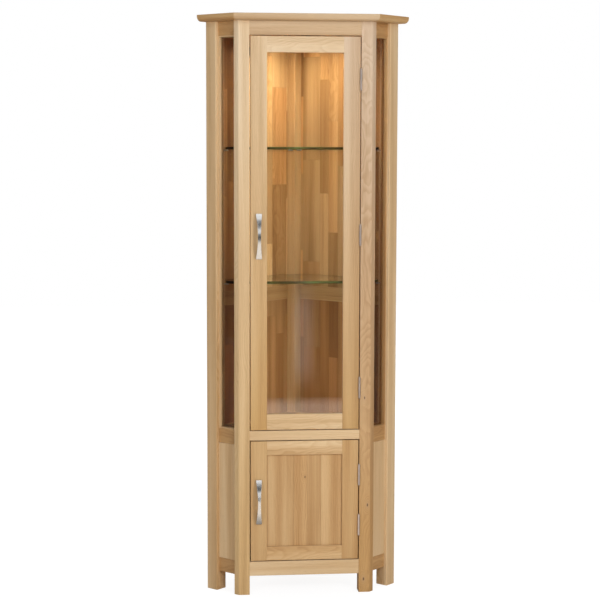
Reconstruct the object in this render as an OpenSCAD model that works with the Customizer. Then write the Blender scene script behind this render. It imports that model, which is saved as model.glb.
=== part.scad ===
// Glazed corner cupboard. The origin is on the floor, at the middle of the overall box.
// +X is to the right, +Y is towards the corner of the room and +Z is up.

/* [Overall size] */
// Height from the floor to the top of the cornice
height = 1800; // [1600:10:2000]
// Width across the faces of the two front posts
front_w = 412; // [396:2:440]
// Length of each slanted side, from a front post to the wall
side_len = 134; // [128:1:150]
// How far the cornice stands out over the front and the sides
overhang = 40; // [25:1:50]
// Thickness of the cornice and of the top board
top_t = 20; // [18:1:28]

/* [Posts] */
// Width of the square posts at the walls
post_w = 42; // [40:1:46]
// Width of a front post's front face
face_w = 34; // [32:1:38]
// Width of a front post's slanted face
slant_w = 20; // [18:1:24]
// Radius of the posts' outer corners
post_ease = 3; // [1:0.5:4]
// Height of the legs below the bottom rails
leg_h = 60; // [50:1:80]

/* [Rails] */
// Height of the top rails
top_rail_h = 43; // [36:1:50]
// Height of the front rail between the doors
mid_rail_h = 30; // [28:1:36]
// Height of the side rails under the glass
side_mid_h = 46; // [44:1:60]
// Height of the bottom rails
bottom_rail_h = 45; // [36:1:50]
// Height of the back rails
back_rail_h = 45; // [36:1:50]
// Height of the back middle rails' lower edge
back_mid_z = 898; // [800:2:920]
// Thickness of the front and side rails
rail_t = 20; // [20:1:22]
// How far the side rails stand back from the posts
side_set = 11; // [8:1:11]
// Height of the display floor's top
floor_z = 519; // [500:1:560]

/* [Doors] */
// Thickness of a door's frame
door_t = 20; // [20:1:22]
// Gap around a door
door_gap = 3; // [2:0.25:3]
// Width of a door's stiles
stile_w = 51; // [48:1:56]
// Height of the upper door's top and bottom rails
upper_door_rail_h = 49; // [44:1:60]
// Height of the lower door's top and bottom rails
lower_door_rail_h = 44; // [40:1:60]

/* [Glass] */
// Thickness of the door glass and the side glass
glass_t = 4; // [3:0.5:4]
// Thickness of the shelves
shelf_t = 8; // [5:1:8]
// Height of the lower shelf's underside
lower_shelf_z = 974; // [850:1:1050]
// Height of the upper shelf's underside
upper_shelf_z = 1390; // [1300:1:1450]

/* [Handles] */
// Distance between a handle's two screws
handle_centres = 128; // [96:4:160]
// Distance that a handle stands out from the door
handle_reach = 28; // [24:1:32]
// Width of a handle's ends
handle_end_w = 18; // [14:1:22]
// Width of a handle at its middle
handle_mid_w = 9.5; // [8:0.5:12]

/* [Hinges] */
// Height of a butt hinge
hinge_h = 65; // [50:5:75]
// Radius of a hinge's knuckles
knuckle_r = 3.5; // [3:0.25:4]
// Distance of the upper door's end hinges from its top and bottom
upper_hinge_in = 130; // [100:5:160]
// Distance of the lower door's hinges from its top and bottom
lower_hinge_in = 109; // [80:1:120]

/* [Hidden] */

$fn = 64;

// The sides stand at 45 degrees to the front and square to the walls.
k = sqrt(1 / 2);
half_w = front_w / 2;
wall_len = side_len + front_w * k;
depth = overhang + half_w + side_len / k;
front_y = overhang - depth / 2;

// Posts
post_h = height - top_t;
post_depth = post_w;
door_x = half_w - face_w;
post_back_x = half_w + 2 * slant_w * k - post_depth;

// Boards
board_ease = 0.8;
cut = 1;
front_set = 1;
tongue = 8;
tongue_at = 6;
panel_proud = 2;
panel_set = side_set - panel_proud;
side_in = side_set + rail_t;
floor_t = 18;
floor_tongue = 4;
floor_tongue_z = 4;
floor_tongue_t = 8;
batten = 18;
batten_end = 60;
cupboard_z = leg_h + bottom_rail_h;
front_rail_zs = [[leg_h, cupboard_z], [floor_z - mid_rail_h, floor_z], [post_h - top_rail_h, post_h]];
side_rail_zs = [[leg_h, cupboard_z], [floor_z - side_mid_h, floor_z], [post_h - top_rail_h, post_h]];

// Back
back_set = 2;
back_rail_t = 10;
back_groove = 6;
back_panel_set = 4;
back_panel_t = 6;
panel_back = back_panel_set + back_panel_t;
rail_back = back_set + back_rail_t;
back_rail_zs = [leg_h, back_mid_z, post_h - back_rail_h];
back_panel_zs = [for (i = [0:1]) [back_rail_zs[i] + back_rail_h, back_rail_zs[i + 1]]];

// Cornice
cornice_in = 30;
cornice_round = 16;

// Side glass: outer beads flush with the rails, then the pane, then inner beads
outer_bead = [4, 10.5];
inner_bead_w = 6;
side_glass_set = side_set + outer_bead.y;
glass_z0 = floor_z;
glass_z1 = post_h - top_rail_h;
glass_play = 1;

// Doors
door_w = 2 * (door_x - door_gap);
door_y = front_set;
upper_door_z0 = floor_z + door_gap;
upper_door_h = post_h - top_rail_h - door_gap - upper_door_z0;
lower_door_z0 = cupboard_z + door_gap;
lower_door_h = floor_z - mid_rail_h - door_gap - lower_door_z0;
rebate = 8;
rebate_y = 8;
tenon_in = 20;
tenon_t = 6;
tenon_step = 8;
door_bead_w = 7;
door_panel_play = 0.5;
handle_rise = -4;

// Shelves
shelf_front = 45;
shelf_gap = 3;
shelf_rear_gap = 2;
pin_r = 2.5;
pin_in = 8;
pin_out = 18;
pin_fit = 0.05;
pin_front_x = 24;
pin_side_y = 5;
pin_rear_x = 11;

// Handles
handle_x = -door_w / 2 + stile_w / 2;
handle_foot = 12;
handle_t = 4.5;
handle_tip = 6;
upper_handle_z = upper_door_z0 + upper_door_h / 2 + handle_rise;
lower_handle_z = lower_door_z0 + lower_door_h / 2 + handle_rise / 2;
bolt_r = 2;
bolt_hole_r = 2.25;
bolt_head_r = 4;
bolt_head_h = 2.5;
bolt_in = 6;
bolt_fit = 0.05;

// Hinges: the pin's axis stands just in front of the post's face, over the gap
axis_x = door_x - door_gap / 2;
axis_out = knuckle_r + 0.2;
leaf_t = 2;
leaf_gap = 0.1;
leaf_w = 21;
knuckles = 5;
knuckle_gap = 0.25;
hinge_pin_r = 1.75;
pin_head_r = 2.6;
pin_head_h = 1.2;
knuckle_fit = [0.01, 0.05];
leaf_screw_z = 22;
leaf_screw_ys = [17, 9];
upper_hinge_zs = [for (i = [0:2])
    upper_door_z0 + upper_hinge_in + i * (upper_door_h - 2 * upper_hinge_in) / 2];
lower_hinge_zs = [for (i = [0:1])
    lower_door_z0 + lower_hinge_in + i * (lower_door_h - 2 * lower_hinge_in)];
hinge_zs = concat(lower_hinge_zs, upper_hinge_zs);

// Wood screws of the hinges and catches
screw_r = 1.65;
screw_hole_r = 1.7;
screw_l = 14;
screw_head_r = 3.2;
screw_head_h = 1.5;

// Catches
catch_down = 45;
catch_zs = [for (z = [lower_door_z0 + lower_door_h, upper_door_z0 + upper_door_h]) z - catch_down];
catch_plate = [2, 12, 46];
catch_body = [12, 14, 24];
catch_screw_z = 18;
catch_gap = 0.1;
strike = [18, 1, 22];
strike_in = 2;

// Light
light_y = 150;
light_r = 33;
light_h = 12;
light_wall = 4;
light_lip = 2;
light_lip_h = 1.5;
light_back = 2;
lens_t = 3;
light_fit = 0.1;

// Grommet for the light's cable
cable_y = 30;
cable_hole_r = 7;
cable_r = 3;
grommet_r = 9;
grommet_lip = 1.5;

OAK = "burlywood";
PALE_OAK = "wheat";
STAVES = "tan";
METAL = "silver";
RUBBER = "dimgray";
GLASS = [0.75, 0.88, 0.84, 0.35];

// ---- Outlines ----

function unit(v) = v / norm(v);

// An outline with every corner rounded by its own radius
module rounded(points, radii) {
    last = len(points) - 1;
    before = [for (i = [0:last]) unit(points[(i + last) % (last + 1)] - points[i])];
    after = [for (i = [0:last]) unit(points[(i + 1) % (last + 1)] - points[i])];
    half = [for (i = [0:last]) acos(before[i] * after[i]) / 2];
    polygon([for (i = [0:last], v = [before[i], after[i]]) points[i] + v * radii[i] / tan(half[i])]);
    for (i = [0:last])
        translate(points[i] + unit(before[i] + after[i]) * radii[i] / sin(half[i]))
            circle(r = radii[i]);
}

// A rectangle from the origin with its corners cut off at 45 degrees
function chamfered(w, d, e = board_ease) = [
    [e, 0], [w - e, 0], [w, e], [w, d - e], [w - e, d], [e, d], [0, d - e], [0, e]
];

// A point given along a side and inwards from it, in the frame of the front's middle
function from_side(p) = [half_w + (p.x - p.y) * k, (p.x + p.y) * k];

// An outline that is the same on both sides of x = 0, from its right half
function both_halves(points) = concat(
    points,
    [for (i = [len(points) - 1:-1:0]) if (points[i].x > cut) [-points[i].x, points[i].y]]
);

// ---- Places ----

// From the middle of the front posts' face, at the floor
module on_front() {
    translate([0, front_y, 0])
        children();
}

// Along a side from the front post's corner, with y inwards
module on_side(left = false) {
    mirror([left ? 1 : 0, 0, 0])
        translate([half_w, front_y, 0])
            rotate([0, 0, 45])
                children();
}

// A box from its lowest corner to its highest
module block(low, high) {
    translate(low)
        cube(high - low);
}

// A board that runs along x, eased along its length
module crosswise(low, high) {
    translate(low)
        rotate([90, 0, 90])
            linear_extrude(high.x - low.x)
                polygon(chamfered(high.y - low.y, high.z - low.z));
}

// Every hinge's place, with the origin on its pin at mid height
module at_hinges(zs) {
    on_front()
        for (z = zs)
            translate([axis_x, -axis_out, z])
                children();
}

// The screws' places on one hinge leaf: side is 1 for the frame and -1 for the door
module at_leaf_screws(side) {
    for (i = [-1:1])
        translate([side * leaf_gap, leaf_screw_ys[1 - abs(i)], i * leaf_screw_z])
            rotate([0, 90 * side, 0])
                children();
}

// The shelf pins' places, with z out of the post's face
module at_pins() {
    for (z = [lower_shelf_z, upper_shelf_z], left = [false, true]) {
        mirror([left ? 1 : 0, 0, 0])
            translate([half_w - pin_front_x, front_y + post_depth, z - pin_r])
                rotate([-90, 0, 0])
                    children();
        on_side(left)
            translate([side_len - post_w, post_w - pin_side_y, z - pin_r])
                rotate([0, -90, 0])
                    children();
        on_side(left)
            translate([side_len - post_w + pin_rear_x, wall_len - post_w, z - pin_r])
                rotate([90, 0, 0])
                    children();
    }
}

module pin_holes() {
    at_pins()
        translate([0, 0, -pin_in])
            cylinder(r = pin_r + pin_fit, h = pin_in + cut);
}

// ---- Posts ----

module side_grooves(left) {
    on_side(left)
        for (z = [[leg_h, floor_z], [glass_z1, post_h + cut]])
            block(
                [slant_w - tongue, side_set + tongue_at, z[0]],
                [side_len - post_w + tongue, side_set + tongue_at + tongue, z[1]]
            );
}

module back_grooves(left) {
    on_side(left)
        block(
            [side_len - panel_back, post_w - back_groove, leg_h],
            [side_len - back_panel_set, wall_len - post_w + back_groove, post_h + cut]
        );
}

module front_post() {
    slant = slant_w * k;
    difference() {
        on_front()
            linear_extrude(post_h)
                rounded(
                    [
                        [door_x, 0], [half_w, 0], [half_w + slant, slant],
                        [post_back_x, post_depth], [door_x, post_depth]
                    ],
                    [board_ease, post_ease, post_ease, post_ease, post_ease]
                );
        side_grooves(false);
        pin_holes();
        on_front()
            for (z = front_rail_zs) {
                top = z[1] == post_h ? post_h + cut : z[1];
                block(
                    [door_x - cut, front_set + tongue_at, z[0]],
                    [door_x + tongue, front_set + tongue_at + tongue, top]
                );
            }
    }
}

module front_post_left() {
    color(OAK)
        difference() {
            mirror([1, 0, 0])
                front_post();
            at_catch_screws()
                cylinder(r = screw_hole_r, h = screw_l + cut);
        }
}

module front_post_right() {
    color(OAK)
        difference() {
            front_post();
            at_hinges(hinge_zs) {
                leaf_plate(1);
                at_leaf_screws(1)
                    cylinder(r = screw_hole_r, h = screw_l + cut);
            }
        }
}

// A square post, with its outer corner along the side and inwards from it
module square_post(y) {
    x0 = side_len - post_w;
    translate([x0, y, 0])
        linear_extrude(post_h)
            rounded(
                [[0, 0], [post_w, 0], [post_w, post_w], [0, post_w]],
                [post_ease, post_ease, post_ease, post_ease]
            );
}

module side_post(left) {
    color(OAK)
        difference() {
            on_side(left)
                square_post(0);
            side_grooves(left);
            back_grooves(left);
            pin_holes();
        }
}

module rear_post() {
    color(OAK)
        difference() {
            on_side()
                square_post(wall_len - post_w);
            back_grooves(false);
            back_grooves(true);
            pin_holes();
        }
}

// ---- Front and side rails ----

module front_rail(i) {
    z = front_rail_zs[i];
    color(PALE_OAK)
        difference() {
            on_front() {
                crosswise([-door_x, front_set, z[0]], [door_x, front_set + rail_t, z[1]]);
                block(
                    [-door_x - tongue, front_set + tongue_at, z[0]],
                    [door_x + tongue, front_set + tongue_at + tongue, z[1]]
                );
            }
            floor_tongues(floor_z);
            floor_tongues(cupboard_z);
        }
}

module side_rail(left, i) {
    z = side_rail_zs[i];
    color(OAK)
        difference() {
            on_side(left) {
                crosswise([slant_w, side_set, z[0]], [side_len - post_w, side_in, z[1]]);
                block(
                    [slant_w - tongue, side_set + tongue_at, z[0]],
                    [side_len - post_w + tongue, side_set + tongue_at + tongue, z[1]]
                );
            }
            side_panel_body(left);
            floor_tongues(floor_z);
            floor_tongues(cupboard_z);
        }
}

module side_panel_body(left) {
    tongue_y = side_set + tongue_at;
    z0 = cupboard_z;
    z1 = floor_z - side_mid_h;
    on_side(left) {
        block([slant_w, panel_set, z0], [side_len - post_w, tongue_y + tongue, z1]);
        block(
            [slant_w - tongue, tongue_y, z0 - tongue],
            [side_len - post_w + tongue, tongue_y + tongue, z1 + tongue]
        );
    }
}

module side_panel(left) {
    color(STAVES)
        side_panel_body(left);
}

// ---- Side glass ----

module side_glass(left) {
    color(GLASS)
        on_side(left)
            block(
                [slant_w + glass_play, side_glass_set, glass_z0 + glass_play],
                [
                    side_len - post_w - glass_play, side_glass_set + glass_t,
                    glass_z1 - glass_play
                ]
            );
}

// A frame of four beads w wide, between the depths y0 and y1
module side_bead_frame(w, y0, y1) {
    x0 = slant_w;
    x1 = side_len - post_w;
    for (x = [x0, x1 - w])
        block([x, y0, glass_z0], [x + w, y1, glass_z1]);
    for (z = [glass_z0, glass_z1 - w])
        block([x0 + w, y0, z], [x1 - w, y1, z + w]);
}

module side_beads() {
    color(OAK)
        for (left = [false, true])
            on_side(left) {
                side_bead_frame(outer_bead.x, side_set, side_glass_set);
                side_bead_frame(inner_bead_w, side_glass_set + glass_t, side_in);
            }
}

// ---- Back ----

module back_panel_body(left, i) {
    z = back_panel_zs[i];
    on_side(left)
        block(
            [side_len - panel_back, post_w - back_groove, z[0] - back_groove],
            [side_len - back_panel_set, wall_len - post_w + back_groove, z[1] + back_groove]
        );
}

module back_panel(left, i) {
    color(STAVES)
        back_panel_body(left, i);
}

module back_rail(left, z) {
    on_side(left) {
        translate([side_len - back_set, post_w, z])
            rotate([90, 0, 180])
                linear_extrude(wall_len - 2 * post_w)
                    polygon(chamfered(back_rail_t, back_rail_h));
        block(
            [side_len - panel_back, post_w - back_groove, z],
            [side_len - back_panel_set, wall_len - post_w + back_groove, z + back_rail_h]
        );
    }
}

// The middle of the cable's hole in the right wall's top rail, with z out to the wall
module at_cable() {
    on_side()
        translate([side_len - back_set, wall_len - post_w - cable_y, post_h - back_rail_h / 2])
            rotate([0, 90, 0])
                children();
}

module back_rails() {
    color(OAK)
        difference() {
            for (left = [false, true], z = back_rail_zs)
                back_rail(left, z);
            for (left = [false, true], i = [0:1])
                back_panel_body(left, i);
            at_cable()
                translate([0, 0, -back_rail_t - cut])
                    cylinder(r = cable_hole_r, h = back_rail_t + 2 * cut);
        }
}

module cable_grommet() {
    color(RUBBER)
        at_cable()
            difference() {
                union() {
                    translate([0, 0, -back_rail_t])
                        cylinder(r = cable_hole_r, h = back_rail_t);
                    for (z = [-back_rail_t - grommet_lip, 0])
                        translate([0, 0, z])
                            cylinder(r = grommet_r, h = grommet_lip);
                }
                translate([0, 0, -back_rail_t - grommet_lip - cut])
                    cylinder(r = cable_r, h = back_rail_t + 2 * grommet_lip + 2 * cut);
            }
}

// ---- Floors ----

// The outline of a floor between the posts: back is how far it stays off the walls
function floor_outline(back) = both_halves([
    [door_x, front_set + rail_t],
    [door_x, post_depth],
    [post_back_x, post_depth],
    from_side([slant_w, side_in]),
    from_side([side_len - post_w, side_in]),
    from_side([side_len - post_w, post_w]),
    from_side([side_len - back, post_w]),
    from_side([side_len - back, wall_len - post_w]),
    from_side([side_len - post_w, wall_len - post_w])
]);

// The tongues of the floor whose top is at z, in the front rail and the side rails
module floor_tongues(z) {
    z1 = z - floor_tongue_z;
    z0 = z1 - floor_tongue_t;
    on_front()
        block(
            [-door_x, front_set + rail_t - floor_tongue, z0],
            [door_x, front_set + rail_t, z1]
        );
    for (left = [false, true])
        on_side(left)
            block([slant_w, side_in - floor_tongue, z0], [side_len - post_w, side_in, z1]);
}

module floor_board(z, back) {
    color(STAVES) {
        on_front()
            translate([0, 0, z - floor_t])
                linear_extrude(floor_t)
                    polygon(floor_outline(back));
        floor_tongues(z);
    }
}

module floor_battens() {
    color(OAK)
        for (left = [false, true], p = [[panel_back, floor_z], [rail_back, cupboard_z]])
            on_side(left)
                block(
                    [side_len - p.x - batten, batten_end, p.y - floor_t - batten],
                    [side_len - p.x, wall_len - batten_end, p.y - floor_t]
                );
}

// ---- Top ----

function cornice_corner(out) = [half_w + out * tan(22.5), -out];

// The cornice's section, with its outer edge at x = 0 and rounded under
module cornice_profile() {
    w = overhang + cornice_in;
    difference() {
        square([w, top_t]);
        difference() {
            square(cornice_round);
            translate([cornice_round, cornice_round])
                circle(r = cornice_round);
        }
    }
}

module cornice_front() {
    color(PALE_OAK)
        intersection() {
            on_front()
                translate([-front_w, -overhang, post_h])
                    rotate([90, 0, 90])
                        linear_extrude(2 * front_w)
                            cornice_profile();
            on_front()
                translate([0, 0, post_h - cut])
                    linear_extrude(top_t + 2 * cut)
                        polygon(both_halves([
                            cornice_corner(overhang + cut), cornice_corner(-cornice_in - cut)
                        ]));
        }
}

module cornice_side(left) {
    reach = side_len + front_w;
    color(OAK)
        intersection() {
            on_side(left)
                translate([-front_w, -overhang, post_h])
                    rotate([90, 0, 90])
                        linear_extrude(front_w + side_len)
                            cornice_profile();
            mirror([left ? 1 : 0, 0, 0])
                on_front()
                    translate([0, 0, post_h - cut])
                        linear_extrude(top_t + 2 * cut)
                            polygon([
                                cornice_corner(overhang + cut), [reach, -overhang - cut],
                                [reach, reach], cornice_corner(-cornice_in - cut)
                            ]);
        }
}

module top_board() {
    color(STAVES)
        on_front()
            translate([0, 0, post_h])
                linear_extrude(top_t)
                    polygon(both_halves([
                        cornice_corner(-cornice_in),
                        from_side([side_len, cornice_in]),
                        from_side([side_len, wall_len])
                    ]));
}

// ---- Shelves ----

function shelf_outline() =
    let (
        edge = side_in + shelf_gap,
        back = side_len - panel_back - shelf_gap,
        turn = edge + side_len - 2 * post_w - shelf_gap / k,
        rear_y = (side_len + wall_len - 2 * post_w) * k - shelf_rear_gap,
        rear_x = half_w + back / k - rear_y
    )
    both_halves([
        [half_w + shelf_front - edge / k, shelf_front],
        from_side([turn, edge]),
        from_side([back, back + edge - turn]),
        [rear_x, rear_y]
    ]);

module glass_shelf(z) {
    color(GLASS)
        on_front()
            translate([0, 0, z])
                linear_extrude(shelf_t)
                    polygon(shelf_outline());
}

module shelf_pins() {
    color(METAL)
        at_pins()
            translate([0, 0, -pin_in])
                cylinder(r = pin_r, h = pin_in + pin_out);
}

// ---- Light ----

module at_light() {
    on_front()
        translate([0, light_y, post_h - light_h])
            children();
}

module light_housing() {
    color(METAL)
        at_light()
            difference() {
                cylinder(r = light_r, h = light_h);
                translate([0, 0, -cut])
                    cylinder(r = light_r - light_wall - light_lip, h = light_h - light_back);
                translate([0, 0, light_lip_h])
                    cylinder(r = light_r - light_wall, h = light_h - light_lip_h - light_back);
            }
}

module light_lens() {
    color("ivory")
        at_light()
            translate([0, 0, light_lip_h])
                cylinder(r = light_r - light_wall - light_fit, h = lens_t);
}

// ---- Hinges ----

// A leaf without its knuckles: side is 1 for the frame and -1 for the door
module leaf_plate(side) {
    x = side > 0 ? leaf_gap : -leaf_gap - leaf_t;
    block(
        [x, axis_out, -hinge_h / 2],
        [x + leaf_t, axis_out + leaf_w, hinge_h / 2]
    );
}

module hinge_leaf(side) {
    step = hinge_h / knuckles;
    first = side > 0 ? 0 : 1;
    x = side > 0 ? leaf_gap : -leaf_gap - leaf_t;
    fit = knuckle_fit[first];
    difference() {
        union() {
            leaf_plate(side);
            for (i = [first:2:knuckles - 1]) {
                z = -hinge_h / 2 + i * step + knuckle_gap;
                h = step - 2 * knuckle_gap;
                translate([0, 0, z])
                    cylinder(r = knuckle_r, h = h);
                block([x, 0, z], [x + leaf_t, axis_out + cut, z + h]);
            }
        }
        cylinder(r = hinge_pin_r + fit, h = hinge_h + cut, center = true);
        at_leaf_screws(side)
            screw_body(screw_hole_r);
    }
}

// A countersunk screw with its head's top at z = 0, or the hole that it fills
module screw_body(r) {
    cylinder(r1 = screw_head_r, r2 = r, h = screw_head_h);
    cylinder(r = r, h = screw_l);
}

module hinge_frame_leaves() {
    color(METAL)
        at_hinges(hinge_zs)
            hinge_leaf(1);
}

module hinge_pins() {
    color(METAL)
        at_hinges(hinge_zs) {
            cylinder(r = hinge_pin_r, h = hinge_h, center = true);
            for (z = [-hinge_h / 2 - pin_head_h, hinge_h / 2])
                translate([0, 0, z])
                    cylinder(r = pin_head_r, h = pin_head_h);
        }
}

module frame_screws() {
    color(METAL) {
        at_hinges(hinge_zs)
            at_leaf_screws(1)
                screw_body(screw_r);
        at_catch_screws()
            screw_body(screw_r);
    }
}

// ---- Catches ----

// The catches' places on the left front post, behind the doors
module at_catches() {
    on_front()
        for (z = catch_zs)
            translate([-door_x, door_y + door_t + strike.y + catch_gap, z])
                children();
}

// The catches' screws, with z into the post
module at_catch_screws() {
    at_catches()
        for (z = [-catch_screw_z, catch_screw_z])
            translate([catch_plate.x, catch_plate.y / 2, z])
                rotate([0, -90, 0])
                    children();
}

module magnetic_catches() {
    color(RUBBER)
        difference() {
            at_catches()
                for (size = [catch_plate, catch_body])
                    block([0, 0, -size.z / 2], [size.x, size.y, size.z / 2]);
            at_catch_screws()
                screw_body(screw_hole_r);
        }
}

module strike_plate(z) {
    color(METAL)
        on_front()
            translate([-door_w / 2 + strike_in, door_y + door_t, z - strike.z / 2])
                cube(strike);
}

// ---- Doors ----

// From a door's lower left corner, with y from its face backwards
module on_door(z) {
    on_front()
        translate([-door_w / 2, door_y, z])
            children();
}

// A left stile h high, with a rebate for glass or a groove for a panel along its right edge
module stile(z, h, rail_h, slot_t) {
    x = stile_w - rebate;
    color(OAK)
        on_door(z)
            difference() {
                linear_extrude(h)
                    difference() {
                        polygon(chamfered(stile_w, door_t));
                        translate([x, rebate_y])
                            square([rebate + cut, slot_t]);
                    }
                for (end = [0, h - rail_h])
                    block(
                        [x - tenon_in, rebate_y, end + tenon_step],
                        [x + cut, rebate_y + tenon_t, end + rail_h - tenon_step]
                    );
            }
}

// A bottom rail, or a top rail when it is turned over, with the same slot along its inner edge
module door_rail(z, rail_h, slot_t) {
    x = stile_w - rebate;
    back = min(rebate_y + slot_t, door_t - board_ease);
    color(PALE_OAK)
        on_door(z)
            difference() {
                union() {
                    crosswise([stile_w, 0, 0], [door_w - stile_w, door_t, rail_h]);
                    block([x, rebate_y, 0], [door_w - x, back, rail_h]);
                    block(
                        [x - tenon_in, rebate_y, tenon_step],
                        [door_w - x + tenon_in, rebate_y + tenon_t, rail_h - tenon_step]
                    );
                }
                block([0, rebate_y, rail_h - rebate], [door_w, rebate_y + slot_t, rail_h + cut]);
            }
}

// A door's top rail, from its bottom rail turned over about its mid height
module turned_over(z, h) {
    translate([0, 0, 2 * z + h])
        mirror([0, 0, 1])
            children();
}

// The hinges' recesses and pilot holes in a right stile
module hinge_cuts(zs) {
    at_hinges(zs) {
        leaf_plate(-1);
        at_leaf_screws(-1)
            cylinder(r = screw_hole_r, h = screw_l + cut);
    }
}

module glazed_stile() {
    stile(upper_door_z0, upper_door_h, upper_door_rail_h, door_t);
}

module panelled_stile() {
    stile(lower_door_z0, lower_door_h, lower_door_rail_h, tenon_t);
}

// A left stile with the holes for its handle's screws
module left_stile(handle_z) {
    difference() {
        children();
        at_bolts(handle_z)
            translate([0, 0, -cut])
                cylinder(r = bolt_hole_r, h = door_t + 2 * cut);
    }
}

// A right stile with its hinges let in
module right_stile(zs) {
    difference() {
        mirror([1, 0, 0])
            children();
        hinge_cuts(zs);
    }
}

module upper_door_rail() {
    door_rail(upper_door_z0, upper_door_rail_h, door_t);
}

module lower_door_rail() {
    door_rail(lower_door_z0, lower_door_rail_h, tenon_t);
}

module upper_door_glass() {
    x = stile_w - rebate + glass_play;
    z = upper_door_rail_h - rebate + glass_play;
    color(GLASS)
        on_door(upper_door_z0)
            block([x, rebate_y, z], [door_w - x, rebate_y + glass_t, upper_door_h - z]);
}

module upper_door_beads() {
    x0 = stile_w - rebate;
    x1 = door_w - x0;
    y0 = rebate_y + glass_t;
    y1 = door_t - board_ease;
    z0 = upper_door_rail_h - rebate;
    z1 = upper_door_h - z0;
    w = door_bead_w;
    color(OAK)
        on_door(upper_door_z0) {
            for (x = [x0, x1 - w])
                block([x, y0, z0], [x + w, y1, z1]);
            for (z = [z0, z1 - w])
                block([x0 + w, y0, z], [x1 - w, y1, z + w]);
        }
}

module lower_door_panel() {
    x = stile_w - rebate + door_panel_play;
    z = lower_door_rail_h - rebate + door_panel_play;
    color(STAVES)
        on_door(lower_door_z0)
            block([x, rebate_y, z], [door_w - x, rebate_y + tenon_t, lower_door_h - z]);
}

// ---- Handles ----

// A handle's place, with the origin on the door's face between its two screws
module at_handle(z) {
    on_front()
        translate([handle_x, door_y, z])
            children();
}

// The screws' places, with z forwards from the back of the door
module at_bolts(z) {
    at_handle(z)
        for (side = [-1, 1])
            translate([0, door_t, side * handle_centres / 2])
                rotate([90, 0, 0])
                    children();
}

// The radius of an arc by its half chord and its rise
function arc_r(half_chord, rise) = (half_chord * half_chord + rise * rise) / (2 * rise);

// A bow seen from its side, x outwards from the door and y up
module bow_side() {
    end = handle_centres / 2 + handle_foot / 2;
    inner = end - handle_foot;
    outer_r = arc_r(end, handle_reach - handle_tip);
    inner_r = arc_r(inner, handle_reach - handle_t);
    difference() {
        intersection() {
            translate([handle_reach - outer_r, 0])
                circle(r = outer_r, $fn = 180);
            translate([0, -end])
                square([handle_reach + cut, 2 * end]);
        }
        translate([handle_reach - handle_t - inner_r, 0])
            circle(r = inner_r, $fn = 180);
    }
}

// A bow seen from the front, narrow at its middle
module bow_front() {
    end = handle_centres / 2 + handle_foot / 2;
    waist = (handle_end_w - handle_mid_w) / 2;
    waist_r = arc_r(end - handle_foot / 2, waist);
    difference() {
        translate([-handle_end_w / 2, -end])
            square([handle_end_w, 2 * end]);
        for (side = [-1, 1])
            translate([side * (handle_mid_w / 2 + waist_r), 0])
                circle(r = waist_r, $fn = 180);
    }
}

module handle(z) {
    end = handle_centres / 2 + handle_foot / 2;
    color(METAL)
        difference() {
            at_handle(z)
                intersection() {
                    translate([handle_end_w, 0, 0])
                        rotate([90, 0, -90])
                            linear_extrude(2 * handle_end_w)
                                bow_side();
                    translate([0, cut, 0])
                        rotate([90, 0, 0])
                            linear_extrude(2 * end)
                                bow_front();
                }
            at_bolts(z)
                cylinder(r = bolt_r + bolt_fit, h = door_t + bolt_in + bolt_fit);
        }
}

module door_screws(zs, handle_z) {
    color(METAL) {
        at_hinges(zs)
            at_leaf_screws(-1)
                screw_body(screw_r);
        at_bolts(handle_z) {
            cylinder(r = bolt_r, h = door_t + bolt_in);
            translate([0, 0, -bolt_head_h])
                cylinder(r = bolt_head_r, h = bolt_head_h);
        }
    }
}

module door_hinge_leaves(zs) {
    color(METAL)
        at_hinges(zs)
            hinge_leaf(-1);
}

top_board();
cornice_front();
cornice_side(true);  // cornice_left
cornice_side(false);  // cornice_right
front_post_left();
front_post_right();
side_post(true);  // side_post_left
side_post(false);  // side_post_right
rear_post();
front_rail(2);  // front_top_rail
front_rail(1);  // front_middle_rail
front_rail(0);  // front_bottom_rail
side_rail(true, 2);  // side_top_rail_left
side_rail(false, 2);  // side_top_rail_right
side_rail(true, 1);  // side_middle_rail_left
side_rail(false, 1);  // side_middle_rail_right
side_rail(true, 0);  // side_bottom_rail_left
side_rail(false, 0);  // side_bottom_rail_right
side_panel(true);  // side_panel_left
side_panel(false);  // side_panel_right
side_glass(true);  // side_glass_left
side_glass(false);  // side_glass_right
side_beads();
back_rails();
back_panel(true, 1);  // back_panel_upper_left
back_panel(false, 1);  // back_panel_upper_right
back_panel(true, 0);  // back_panel_lower_left
back_panel(false, 0);  // back_panel_lower_right
floor_board(floor_z, panel_back);  // display_floor
floor_board(cupboard_z, rail_back);  // cupboard_floor
floor_battens();
glass_shelf(upper_shelf_z);  // glass_shelf_upper
glass_shelf(lower_shelf_z);  // glass_shelf_lower
shelf_pins();
light_housing();
light_lens();
cable_grommet();
magnetic_catches();
hinge_frame_leaves();
hinge_pins();
frame_screws();
left_stile(upper_handle_z) glazed_stile();  // upper_door_stile_left
right_stile(upper_hinge_zs) glazed_stile();  // upper_door_stile_right
turned_over(upper_door_z0, upper_door_h) upper_door_rail();  // upper_door_top_rail
upper_door_rail();  // upper_door_bottom_rail
upper_door_glass();
upper_door_beads();
handle(upper_handle_z);  // upper_door_handle
door_hinge_leaves(upper_hinge_zs);  // upper_door_hinge_leaves
door_screws(upper_hinge_zs, upper_handle_z);  // upper_door_screws
strike_plate(catch_zs[1]);  // upper_door_strike
left_stile(lower_handle_z) panelled_stile();  // lower_door_stile_left
right_stile(lower_hinge_zs) panelled_stile();  // lower_door_stile_right
turned_over(lower_door_z0, lower_door_h) lower_door_rail();  // lower_door_top_rail
lower_door_rail();  // lower_door_bottom_rail
lower_door_panel();
handle(lower_handle_z);  // lower_door_handle
door_hinge_leaves(lower_hinge_zs);  // lower_door_hinge_leaves
door_screws(lower_hinge_zs, lower_handle_z);  // lower_door_screws
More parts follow.
